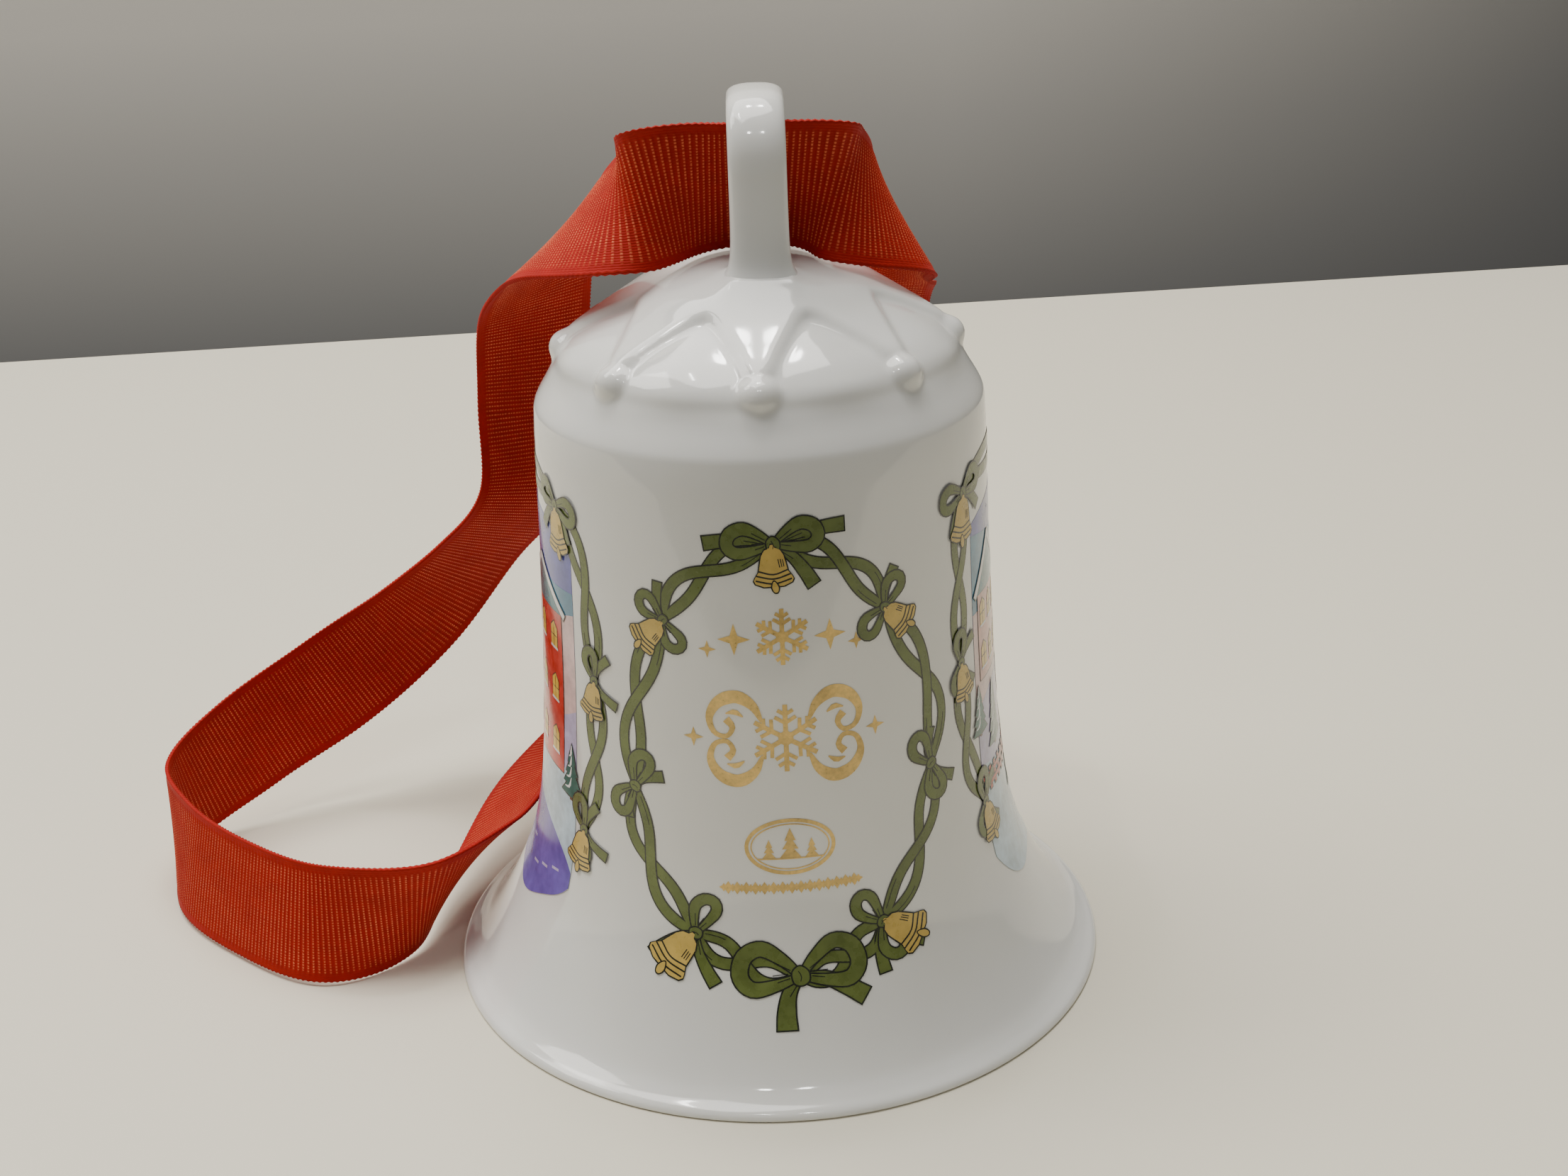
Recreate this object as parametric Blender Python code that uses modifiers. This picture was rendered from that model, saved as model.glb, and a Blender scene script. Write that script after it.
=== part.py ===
"""Porcelain Christmas bell: a flared shell with a scalloped crown, a strap loop on top,
a clapper hung inside on a wire link, and a ribbon loop threaded through the strap.

The bell stands on its foot ring at z = 0, and its axis is the Z axis. Metres, +Z up.
The strap's opening faces +X and -X, and the ribbon runs through it and hangs behind the bell, at +Y."""
import math

import bmesh
import bpy
import numpy as np
from mathutils import Vector

MM = 0.001

# Bell
MOUTH_RADIUS = 40.0 * MM
SHOULDER_RADIUS = 25.6 * MM
SHOULDER_HEIGHT = 70.9 * MM
CROWN_RISE = 16.1 * MM
WALL = 2.8 * MM
FOOT_RING_WIDTH = 3.0 * MM
LIP_EDGE = 0.4 * MM
AROUND = 72

# Crown relief: a raised cap whose lower edge is a row of arches, with a pearl where two arches meet
ARCHES = 8
PEARL_RADIUS = 1.9 * MM
PEARL_SINK = 0.75 * MM
PEARL_SHARE = 0.40
ARCH_FOOT_SHARE = 0.45
ARCH_TOP_SHARE = 0.757
ARCH_SPAN = 0.87
RELIEF = 0.55 * MM
RELIEF_EDGE = 0.045
RELIEF_SINK = 0.4
RELIEF_LOW, RELIEF_HIGH = 0.25, 0.85
RELIEF_FADE = 0.15

# Strap loop
STRAP_WIDTH = 6.2 * MM
STRAP_THICKNESS = 2.7 * MM
STRAP_DEPTH = 18.5 * MM
STRAP_PLAY = 0.35 * MM
STRAP_CORNER = 6.0 * MM
STRAP_OFFSET = 0.7 * MM
STRAP_FOOT_SPREAD = 1.2 * MM
STRAP_FOOT_FLARE = 1.5
STRAP_AROUND = 20
STRAP_SQUARENESS = 0.75
STRAP_CORNER_STEPS = 8

# Clapper
EYELET_WIRE_RADIUS = 1.4 * MM
EYELET_HALF_WIDTH = 3.2 * MM
EYELET_DROP = 7.9 * MM
EYELET_STEPS = 12
WIRE_RADIUS = 0.7 * MM
LINK_PLAY = 0.6 * MM
EYE_RADIUS = 2.1 * MM
EYE_START, EYE_END = -48, 262
EYE_STEPS = 18
EYE_NECK = 1.2 * MM
BEAD_RADIUS = 6.5 * MM
BEAD_HEIGHT = 17.0 * MM
STOP_RADIUS = 1.7 * MM
STOP_LENGTH = 2.4 * MM
WIRE_TAIL = 0.8 * MM
BEAD_AROUND, STOP_AROUND = 24, 14

# Ribbon
RIBBON_WIDTH = 15.0 * MM
RIBBON_THICKNESS = 0.8 * MM
RIBBON_LAP = 12.0 * MM
RIBBON_STEP = 4.0 * MM

# Clearances
LUTE_GAP = 0.3 * MM
RUNNING_GAP = 0.3 * MM
LAP_GAP = 0.3 * MM

# Making: steps in a finely drawn span, distances within which points are welded, and how far from the
# crown's outer line a point may be and still belong to it
FINE = 24
WELD = 0.01 * MM
FINE_WELD = 0.001 * MM
OUTSIDE_REACH = 0.2 * MM

# Outer wall: (share of the shoulder's height, share of the flare from shoulder to mouth)
WALL_OUTLINE = [
    (0.0, 0.985), (0.005, 1.0), (0.014, 0.975), (0.024, 0.89), (0.042, 0.785), (0.083, 0.64),
    (0.139, 0.485), (0.208, 0.33), (0.305, 0.206), (0.416, 0.135), (0.556, 0.082), (0.722, 0.044),
    (0.889, 0.02), (0.975, 0.008),
]
# Inner wall: (share of the shoulder's height, share of the flare from inner shoulder to foot ring)
BORE_OUTLINE = [
    (0.0, 1.0), (0.02, 0.88), (0.06, 0.715), (0.113, 0.575), (0.169, 0.43), (0.226, 0.32),
    (0.305, 0.217), (0.416, 0.145), (0.556, 0.09), (0.722, 0.05), (0.889, 0.025), (0.96, 0.01),
]
# Crown: (share of the crown's rise, share of the shoulder's radius), from the shoulder to the top
CROWN_OUTLINE = [
    (0.0, 1.0), (0.04, 0.993), (0.10, 0.973), (0.20, 0.935), (0.30, 0.902), (0.385, 0.884),
    (0.455, 0.853), (0.54, 0.787), (0.63, 0.69), (0.74, 0.57), (0.86, 0.45), (0.94, 0.31),
    (0.985, 0.16), (1.0, 0.0),
]

# The ribbon's centreline and, at each point, the direction across it, towards the edge that is on top
# in the strap loop. From the bell's right it goes over the crown to the left, rolls over and drops
# behind the bell, swings out to the left, turns back along the table, leans on the bell's flare and
# rises behind the bell to where it started. Millimetres, for a mouth, shoulder and top of the drawn size.
RIBBON_ROUTE = [
    ((15.2, 33.0, 72.0), (-0.97, -0.20, 0.02)),
    ((15.7, 21.5, 82.4), (-0.74, 0.30, 0.58)),
    ((16.9, 8.0, 88.6), (-0.45, 0.40, 0.80)),
    ((10.8, -0.4, 93.1), (-0.15, 0.12, 0.98)),
    ((4.5, -0.7, 94.55), (0.0, -0.28, 0.95)),
    ((-3.0, -0.9, 94.55), (0.0, -0.30, 0.95)),
    ((-9.6, -2.4, 94.1), (-0.04, -0.02, 0.98)),
    ((-15.6, -0.8, 92.2), (0.34, 0.42, 0.84)),
    ((-22.0, 9.5, 88.0), (0.65, 0.42, 0.64)),
    ((-25.5, 21.5, 81.5), (0.81, 0.42, 0.41)),
    ((-28.5, 32.0, 72.0), (0.93, 0.36, 0.09)),
    ((-30.0, 37.5, 59.5), (0.95, 0.29, -0.15)),
    ((-32.0, 40.5, 45.5), (0.82, 0.54, -0.20)),
    ((-40.5, 44.5, 35.0), (0.64, 0.67, -0.39)),
    ((-50.5, 44.0, 25.0), (0.53, 0.38, -0.76)),
    ((-62.0, 40.0, 17.5), (0.45, 0.01, -0.90)),
    ((-73.0, 33.5, 12.2), (0.41, 0.15, -0.90)),
    ((-81.0, 23.0, 8.2), (0.04, 0.20, -0.98)),
    ((-77.0, 9.5, 8.0), (-0.15, -0.14, -0.98)),
    ((-67.5, -1.0, 7.8), (-0.09, -0.24, -0.97)),
    ((-55.5, -8.5, 7.9), (-0.10, -0.18, -0.98)),
    ((-43.5, -5.0, 8.0), (-0.26, 0.25, -0.93)),
    ((-37.5, 8.5, 9.0), (-0.63, 0.46, -0.63)),
    ((-32.5, 21.5, 11.8), (-0.72, 0.49, -0.49)),
    ((-24.0, 33.0, 15.5), (-0.73, 0.59, -0.35)),
    ((-14.5, 42.5, 18.5), (-0.74, 0.61, 0.29)),
    ((-3.5, 49.0, 24.5), (-0.70, 0.44, 0.56)),
    ((6.0, 49.5, 35.0), (-0.84, 0.28, 0.47)),
    ((12.0, 44.5, 47.0), (-0.96, 0.07, 0.26)),
    ((14.6, 39.0, 59.5), (-0.98, -0.08, 0.17)),
]
DRAWN_MOUTH_RADIUS = 40.0 * MM
DRAWN_SHOULDER_HEIGHT = 70.9 * MM
DRAWN_TOP_HEIGHT = 87.0 * MM
# The lapped and stitched ends lie on the stretch behind the bell, after this many route points.
SEAM_AFTER = 27.3

# Looks: colour, roughness, metallic
PORCELAIN = ((0.88, 0.88, 0.86, 1.0), 0.08, 0.0)
BRASS = ((0.72, 0.55, 0.28, 1.0), 0.3, 1.0)
RED_RIBBON = ((0.42, 0.02, 0.015, 1.0), 0.75, 0.0)


def clear_scene():
    for obj in list(bpy.data.objects):
        bpy.data.objects.remove(obj, do_unlink=True)
    for mesh in list(bpy.data.meshes):
        bpy.data.meshes.remove(mesh)


def new_collection(name):
    collection = bpy.data.collections.new(name)
    bpy.context.scene.collection.children.link(collection)
    return collection


def material(name, look):
    colour, roughness, metallic = look
    made = bpy.data.materials.new(name)
    made.use_nodes = True
    shader = made.node_tree.nodes["Principled BSDF"]
    shader.inputs["Base Color"].default_value = colour
    shader.inputs["Roughness"].default_value = roughness
    shader.inputs["Metallic"].default_value = metallic
    return made


def add_object(name, data, collection, look=None):
    obj = bpy.data.objects.new(name, data)
    collection.objects.link(obj)
    if look is not None:
        data.materials.append(material(name, look))
    return obj


def add_pivot(name, location, collection, parent=None):
    pivot = add_object(name, None, collection)
    pivot.empty_display_size = 5 * MM
    pivot.location = location
    if parent is not None:
        pivot.parent = parent
        pivot.location = Vector(location) - parent.matrix_world.translation
    bpy.context.view_layer.update()
    return pivot


def hang_on(obj, pivot):
    """Parent obj to pivot and leave it where it is."""
    place = obj.matrix_world.copy()
    obj.parent = pivot
    obj.matrix_parent_inverse = pivot.matrix_world.inverted()
    obj.matrix_world = place


def smooth_line(points, steps):
    """A Catmull-Rom curve through the points, with each span between two of them cut in steps."""
    points = [np.array(p, float) for p in points]
    ends = [2 * points[0] - points[1], *points, 2 * points[-1] - points[-2]]
    line = []
    for a, b, c, d in zip(ends, ends[1:], ends[2:], ends[3:]):
        for t in np.linspace(0, 1, steps, endpoint=False):
            line.append(catmull_rom(a, b, c, d, t))
    line.append(points[-1])
    return np.array(line)


def catmull_rom(a, b, c, d, t):
    straight, curve, twist = c - a, 2 * a - 5 * b + 4 * c - d, 3 * b - a - 3 * c + d
    return 0.5 * (2 * b + straight * t + curve * t**2 + twist * t**3)


def normals_of(line):
    """Unit normals on the left of a line in the plane, as (radius, height)."""
    way = np.gradient(line, axis=0)
    way /= np.linalg.norm(way, axis=1)[:, None]
    return np.column_stack([way[:, 1], -way[:, 0]])


def wall_line(steps):
    flare = MOUTH_RADIUS - SHOULDER_RADIUS
    points = [(SHOULDER_RADIUS + out * flare, up * SHOULDER_HEIGHT) for up, out in WALL_OUTLINE]
    return smooth_line(points, steps)


def bore_line(steps):
    inner_shoulder = SHOULDER_RADIUS - WALL
    flare = MOUTH_RADIUS - LIP_EDGE - FOOT_RING_WIDTH - inner_shoulder
    points = [(inner_shoulder + out * flare, up * SHOULDER_HEIGHT) for up, out in BORE_OUTLINE]
    return smooth_line(points, steps)


def crown_line(steps):
    points = [
        (out * SHOULDER_RADIUS, SHOULDER_HEIGHT + up * CROWN_RISE) for up, out in CROWN_OUTLINE
    ]
    return smooth_line(points, steps)


def vault_line(rows):
    """The crown's inside: its outside moved in by the wall, in a few rows and then the top."""
    outside = crown_line(FINE)
    inside = outside - WALL * normals_of(outside)
    kept = inside[inside[:, 0] > WALL]
    picked = np.linspace(0, len(kept) - 1, rows).astype(int)
    return np.vstack([kept[picked], [[0.0, SHOULDER_HEIGHT + CROWN_RISE - WALL]]])


def crown_height(radius):
    line = crown_line(FINE)
    return float(np.interp(radius, line[::-1, 0], line[::-1, 1]))


def turned(name, line, collection, around, look=None):
    """A profile at +X, turned about the Z axis. The profile runs down its outer side."""
    mesh = bpy.data.meshes.new(name)
    mesh.from_pydata([(r, 0, z) for r, z in line], [(i, i + 1) for i in range(len(line) - 1)], [])
    obj = add_object(name, mesh, collection, look)
    screw = obj.modifiers.new("turn", "SCREW")
    screw.steps = screw.render_steps = around
    screw.use_merge_vertices = True
    screw.merge_threshold = 2 * WELD
    screw.use_smooth_shade = True
    return obj


def as_mesh(obj, weld=WELD):
    """Replace obj by its evaluated mesh, with loose caps and seams welded."""
    name, collection = obj.name, obj.users_collection[0]
    bpy.context.view_layer.update()
    evaluated = obj.evaluated_get(bpy.context.evaluated_depsgraph_get())
    mesh = bpy.data.meshes.new_from_object(evaluated)
    place = obj.matrix_world.copy()
    bpy.data.objects.remove(obj, do_unlink=True)
    work = bmesh.new()
    work.from_mesh(mesh)
    bmesh.ops.remove_doubles(work, verts=work.verts, dist=weld)
    bmesh.ops.recalc_face_normals(work, faces=work.faces)
    work.to_mesh(mesh)
    work.free()
    mesh.name = name
    made = bpy.data.objects.new(name, mesh)
    collection.objects.link(made)
    made.matrix_world = place
    return made


def boolean(obj, cutter, operation):
    modifier = obj.modifiers.new(operation.lower(), "BOOLEAN")
    modifier.operation = operation
    modifier.object = cutter
    cutter.hide_render = True
    cutter.display_type = "WIRE"


def clamp(value):
    return min(1.0, max(0.0, value))


def soft_step(value):
    return clamp(value) ** 2 * (3 - 2 * clamp(value))


def arch_share(angle):
    """How far up the crown the arches' edge runs at this angle, as a share of the crown's rise."""
    pitch = 2 * math.pi / ARCHES
    across = abs(((angle + math.pi / 2) % pitch) / pitch * 2 - 1) / ARCH_SPAN
    return ARCH_FOOT_SHARE + (ARCH_TOP_SHARE - ARCH_FOOT_SHARE) * clamp(1 - across**1.5) ** 0.6


def relief(angle, share):
    """How far the crown stands out: the cap above the arches is raised, and the petals are sunk."""
    raised = soft_step(0.5 + (share - arch_share(angle)) / (2 * RELIEF_EDGE))
    fade = clamp((share - RELIEF_LOW) / RELIEF_FADE) * clamp(1 + (RELIEF_HIGH - share) / RELIEF_FADE)
    return RELIEF * fade * (raised - RELIEF_SINK)


def raise_arches(obj):
    """Move the crown's outer points out or in by the relief."""
    line = crown_line(FINE)
    outward = normals_of(line)
    for vertex in obj.data.vertices:
        share = (vertex.co.z - SHOULDER_HEIGHT) / CROWN_RISE
        radius = math.hypot(vertex.co.x, vertex.co.y)
        gaps = np.hypot(line[:, 0] - radius, line[:, 1] - vertex.co.z)
        nearest = int(gaps.argmin())
        if share < RELIEF_LOW or gaps[nearest] > OUTSIDE_REACH:
            continue
        angle = math.atan2(vertex.co.y, vertex.co.x)
        radial, up = outward[nearest] * relief(angle, share)
        vertex.co.x += radial * math.cos(angle)
        vertex.co.y += radial * math.sin(angle)
        vertex.co.z += up


def pearl_place(number):
    angle = 2 * math.pi * number / ARCHES - math.pi / 2
    height = SHOULDER_HEIGHT + PEARL_SHARE * CROWN_RISE
    line = crown_line(FINE)
    nearest = int(np.abs(line[:, 1] - height).argmin())
    radius, level = line[nearest] - PEARL_SINK * normals_of(line)[nearest]
    return (radius * math.cos(angle), radius * math.sin(angle), level)


def make_pearls(collection):
    """The row of pearls as one mesh: the shell's Boolean joins them to it."""
    mesh = bpy.data.meshes.new("pearls")
    work = bmesh.new()
    for number in range(ARCHES):
        made = bmesh.ops.create_uvsphere(work, u_segments=12, v_segments=8, radius=PEARL_RADIUS)
        bmesh.ops.translate(work, verts=made["verts"], vec=pearl_place(number))
    work.to_mesh(mesh)
    work.free()
    return add_object("pearls", mesh, collection)


def make_bell(collection, cutters):
    outside = np.vstack([wall_line(1), crown_line(2)])[::-1]
    inside = np.vstack([bore_line(1), vault_line(8)])
    shell = turned("bell_body", np.vstack([outside, inside]), collection, AROUND, PORCELAIN)
    shell = as_mesh(shell)
    raise_arches(shell)
    boolean(shell, make_pearls(cutters), "UNION")
    return as_mesh(shell, FINE_WELD)


def strap_section(cutters):
    """The strap's rounded cross-section, as a bevel object."""
    curve = bpy.data.curves.new("strap_section", "CURVE")
    curve.dimensions = "2D"
    spline = curve.splines.new("POLY")
    spline.points.add(STRAP_AROUND - 1)
    for i in range(STRAP_AROUND):
        turn = 2 * math.pi * i / STRAP_AROUND
        cosine, sine = math.cos(turn), math.sin(turn)
        x = math.copysign(abs(cosine) ** STRAP_SQUARENESS, cosine) * STRAP_WIDTH / 2
        y = math.copysign(abs(sine) ** STRAP_SQUARENESS, sine) * STRAP_THICKNESS / 2
        spline.points[i].co = (x, y, 0, 1)
    spline.use_cyclic_u = True
    section = add_object("strap_section", curve, cutters)
    section.hide_render = True
    return section


def strap_path():
    """The strap's centreline as (y, z, flare), from the front foot over the top to the back foot."""
    base = SHOULDER_HEIGHT + CROWN_RISE
    leg = STRAP_DEPTH / 2 - STRAP_THICKNESS / 2
    top = base + RIBBON_WIDTH + STRAP_PLAY + STRAP_THICKNESS / 2
    foot = leg + STRAP_FOOT_SPREAD
    half = [
        (-foot, crown_height(foot) - 1.5 * MM, STRAP_FOOT_FLARE),
        (-foot + 0.25 * STRAP_FOOT_SPREAD, crown_height(foot) + 0.5 * MM, 1.28),
        (-leg - 0.3 * STRAP_FOOT_SPREAD, base + 1.0 * MM, 1.1),
        (-leg, base + 3.5 * MM, 1.0),
    ]
    for i in range(STRAP_CORNER_STEPS + 1):
        turn = math.pi / 2 * i / STRAP_CORNER_STEPS
        y = -leg + STRAP_CORNER * (1 - math.cos(turn))
        half.append((y, top - STRAP_CORNER * (1 - math.sin(turn)), 1.0))
    return half + [(-y, z, flare) for y, z, flare in half[::-1]]


def make_strap(collection, cutters):
    curve = bpy.data.curves.new("loop_handle", "CURVE")
    curve.dimensions = "3D"
    curve.twist_mode = "MINIMUM"
    spline = curve.splines.new("POLY")
    path = strap_path()
    spline.points.add(len(path) - 1)
    for point, (y, z, flare) in zip(spline.points, path):
        point.co = (0, y, z, 1)
        point.radius = flare
    curve.bevel_mode = "OBJECT"
    curve.bevel_object = strap_section(cutters)
    curve.use_fill_caps = True
    strap = add_object("loop_handle", curve, collection, PORCELAIN)
    strap.location.x = STRAP_OFFSET
    strap = as_mesh(strap)
    crown = crown_line(2)
    seat = crown + LUTE_GAP * normals_of(crown)
    seat[-1, 0] = 0
    floor = [[seat[0, 0], seat[0, 1] - WALL], [0, seat[0, 1] - WALL]]
    cutter = turned("strap_seat", np.vstack([seat[::-1], floor]), cutters, AROUND)
    cutter = as_mesh(cutter)
    boolean(strap, cutter, "DIFFERENCE")
    return strap


def eyelet_height():
    """The height of the middle of the eyelet's lowest stretch of wire, where the link hangs."""
    return SHOULDER_HEIGHT + CROWN_RISE - WALL - EYELET_DROP


def link_radius():
    """The middle of the link's wire: the eyelet's wire and the rod's run inside it with some play."""
    return EYELET_WIRE_RADIUS + 2 * WIRE_RADIUS + RUNNING_GAP + LINK_PLAY / 2


def link_height():
    """The height of the middle of the link's lowest stretch of wire, where the clapper hangs."""
    above = EYELET_WIRE_RADIUS + RUNNING_GAP + WIRE_RADIUS
    return eyelet_height() + above - 2 * link_radius()


def wire(name, points, radius, collection, look):
    """A round wire through the points, with closed ends."""
    curve = bpy.data.curves.new(name, "CURVE")
    curve.dimensions = "3D"
    curve.bevel_depth = radius
    curve.bevel_resolution = 2
    curve.use_fill_caps = True
    spline = curve.splines.new("POLY")
    spline.points.add(len(points) - 1)
    for point, place in zip(spline.points, points):
        point.co = (*place, 1)
    return add_object(name, curve, collection, look)


def make_eyelet(collection):
    """A U of porcelain, luted to the inside of the crown."""
    low = eyelet_height() + EYELET_HALF_WIDTH
    vault = vault_line(60)
    ceiling = float(np.interp(EYELET_HALF_WIDTH + EYELET_WIRE_RADIUS, vault[::-1, 0], vault[::-1, 1]))
    points = [(-EYELET_HALF_WIDTH, 0, ceiling - LUTE_GAP)]
    for i in range(EYELET_STEPS + 1):
        turn = math.pi * i / EYELET_STEPS
        x = -EYELET_HALF_WIDTH * math.cos(turn)
        points.append((x, 0, low - EYELET_HALF_WIDTH * math.sin(turn)))
    points.append((EYELET_HALF_WIDTH, 0, ceiling - LUTE_GAP))
    return wire("hanger_eyelet", points, EYELET_WIRE_RADIUS, collection, PORCELAIN)


def make_link(collection):
    """A closed wire ring in the YZ plane, hung on the eyelet."""
    bpy.ops.mesh.primitive_torus_add(
        major_segments=32,
        minor_segments=10,
        major_radius=link_radius(),
        minor_radius=WIRE_RADIUS,
        location=(0, 0, link_height() + link_radius()),
        rotation=(0, math.pi / 2, 0),
    )
    link = bpy.context.object
    link.name = "clapper_link"
    link.data.materials.append(material("clapper_link", BRASS))
    link.data.shade_smooth()
    for other in list(link.users_collection):
        other.objects.unlink(link)
    collection.objects.link(link)
    return link


def make_rod(collection):
    """The clapper's wire: an open eye in the XZ plane round the link, then straight down."""
    centre = link_height() + 2 * WIRE_RADIUS + RUNNING_GAP - EYE_RADIUS
    points = []
    for turn in np.radians(np.linspace(EYE_START, EYE_END, EYE_STEPS + 1)):
        points.append((EYE_RADIUS * math.cos(turn), 0, centre + EYE_RADIUS * math.sin(turn)))
    points.append((0, 0, centre - EYE_RADIUS - EYE_NECK))
    points.append((0, 0, BEAD_HEIGHT - BEAD_RADIUS - STOP_LENGTH - WIRE_TAIL))
    return wire("clapper_rod", points, WIRE_RADIUS, collection, BRASS)


def threaded_bead(name, height, radius, half_length, around, collection, look):
    """A round bead with a bore for the wire, turned about the wire's line."""
    bore = WIRE_RADIUS + RUNNING_GAP
    reach = math.acos(bore / radius)
    line = []
    rows = around // 2
    for i in range(rows + 1):
        turn = reach - 2 * reach * i / rows
        rise = half_length * math.sin(turn) / math.sin(reach)
        line.append((radius * math.cos(turn), height + rise))
    line.append(line[0])
    return turned(name, np.array(line), collection, around, look)


def make_bead(collection):
    half = math.sqrt(BEAD_RADIUS**2 - (WIRE_RADIUS + RUNNING_GAP) ** 2)
    return threaded_bead("clapper_bead", BEAD_HEIGHT, BEAD_RADIUS, half, BEAD_AROUND, collection, PORCELAIN)


def make_stop(collection):
    """The small crimped bead that the clapper's bead rests on."""
    height = BEAD_HEIGHT - BEAD_RADIUS - STOP_LENGTH / 2 - LUTE_GAP / 2
    half = STOP_LENGTH / 2 - LUTE_GAP
    return threaded_bead("bead_stop", height, STOP_RADIUS, half, STOP_AROUND, collection, BRASS)


def fitted(point):
    """A point of the ribbon's route, moved out with the mouth and up or down with the bell's top."""
    place = Vector(point) * MM
    share = soft_step(place.z / DRAWN_SHOULDER_HEIGHT)
    out = 1 + (MOUTH_RADIUS / DRAWN_MOUTH_RADIUS - 1) * (1 - share)
    rise = (SHOULDER_HEIGHT + CROWN_RISE - DRAWN_TOP_HEIGHT) * share
    return (place.x * out, place.y * out, place.z + rise)


def ribbon_line():
    """Points and cross directions along the ribbon, from one lapped end round to the other, the length
    up to each of them, and the length once round."""
    route = [np.concatenate([fitted(point), across]) for point, across in RIBBON_ROUTE]
    fine = []
    for i in range(len(route)):
        a, b, c, d = (route[(i + k) % len(route)] for k in (-1, 0, 1, 2))
        for t in np.linspace(0, 1, FINE, endpoint=False):
            fine.append(catmull_rom(a, b, c, d, t))
    fine = np.roll(np.array(fine), -int(round(SEAM_AFTER * FINE)), axis=0)
    twice = np.vstack([fine, fine])
    along = np.concatenate([[0], np.cumsum(np.linalg.norm(np.diff(twice[:, :3], axis=0), axis=1))])
    once = along[len(fine)]
    total = once + RIBBON_LAP
    wanted = np.linspace(0, total, int(round(total / RIBBON_STEP)) + 1)
    found = np.column_stack([np.interp(wanted, along, column) for column in twice.T])
    return found[:, :3], found[:, 3:], wanted, once


def lap_offset(place, once):
    """How far off the route the ribbon lies, so that one end lies flat over the other."""
    half = (RIBBON_THICKNESS + LAP_GAP) / 2
    start = soft_step((2 * RIBBON_LAP - place) / RIBBON_LAP)
    end = soft_step((place - once + RIBBON_LAP) / RIBBON_LAP)
    return half * (end - start)


def make_ribbon(collection):
    """The ribbon's mid-surface along its route, given its thickness by Solidify."""
    middle, across, wanted, once = ribbon_line()
    along = np.gradient(middle, axis=0)
    along /= np.linalg.norm(along, axis=1)[:, None]
    across -= np.einsum("ij,ij->i", across, along)[:, None] * along
    across /= np.linalg.norm(across, axis=1)[:, None]
    facing = np.cross(along, across)
    shift = np.array([lap_offset(place, once) for place in wanted])
    middle = middle + shift[:, None] * facing
    edges = [middle - across * RIBBON_WIDTH / 2, middle, middle + across * RIBBON_WIDTH / 2]
    points = np.stack(edges, axis=1).reshape(-1, 3)
    faces = []
    for row in range(len(middle) - 1):
        for column in range(2):
            first = 3 * row + column
            faces.append((first, first + 1, first + 4, first + 3))
    mesh = bpy.data.meshes.new("hanging_ribbon")
    mesh.from_pydata([tuple(p) for p in points], [], faces)
    mesh.shade_smooth()
    ribbon = add_object("hanging_ribbon", mesh, collection, RED_RIBBON)
    solidify = ribbon.modifiers.new("thickness", "SOLIDIFY")
    solidify.thickness = RIBBON_THICKNESS
    solidify.offset = 0
    return ribbon


def main():
    clear_scene()
    collection = new_collection("christmas_bell")
    cutters = new_collection("cutters")
    make_bell(collection, cutters)
    make_strap(collection, cutters)
    make_eyelet(collection)
    link_pivot = add_pivot("link_pivot", (0, 0, eyelet_height()), collection)
    hang_on(make_link(collection), link_pivot)
    rod_pivot = add_pivot("rod_pivot", (0, 0, link_height()), collection, link_pivot)
    for piece in (make_rod(collection), make_bead(collection), make_stop(collection)):
        hang_on(piece, rod_pivot)
    make_ribbon(collection)


main()
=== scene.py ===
"""Visual model of the porcelain Christmas bell: the glazed bell with its scalloped crown, the printed
wreath and winter pictures, the clapper on its wire, and the woven ribbon through the strap loop.

Lengths in the tables are in millimetres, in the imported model's frame, and mesh_object() turns them
into metres. Pictures on the wall are drawn in (u, v): u is millimetres round the wall from the middle
of the picture, at the wall's radius there, and v is the height above the table."""
import math
import random

import bpy
import numpy as np
from mathutils import Matrix, Vector


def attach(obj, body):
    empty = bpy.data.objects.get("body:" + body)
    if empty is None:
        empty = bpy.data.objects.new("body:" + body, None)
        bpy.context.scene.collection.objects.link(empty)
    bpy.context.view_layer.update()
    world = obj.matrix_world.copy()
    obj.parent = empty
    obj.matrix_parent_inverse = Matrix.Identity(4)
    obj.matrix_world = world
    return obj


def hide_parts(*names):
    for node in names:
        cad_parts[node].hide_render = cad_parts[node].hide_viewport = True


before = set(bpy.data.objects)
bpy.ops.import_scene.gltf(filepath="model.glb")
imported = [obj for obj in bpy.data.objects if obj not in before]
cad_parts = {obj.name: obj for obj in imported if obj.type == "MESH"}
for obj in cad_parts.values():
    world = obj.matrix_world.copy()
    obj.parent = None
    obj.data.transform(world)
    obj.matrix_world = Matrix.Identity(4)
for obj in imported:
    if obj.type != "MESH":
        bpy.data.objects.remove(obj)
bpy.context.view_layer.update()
MM = 0.001

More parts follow.
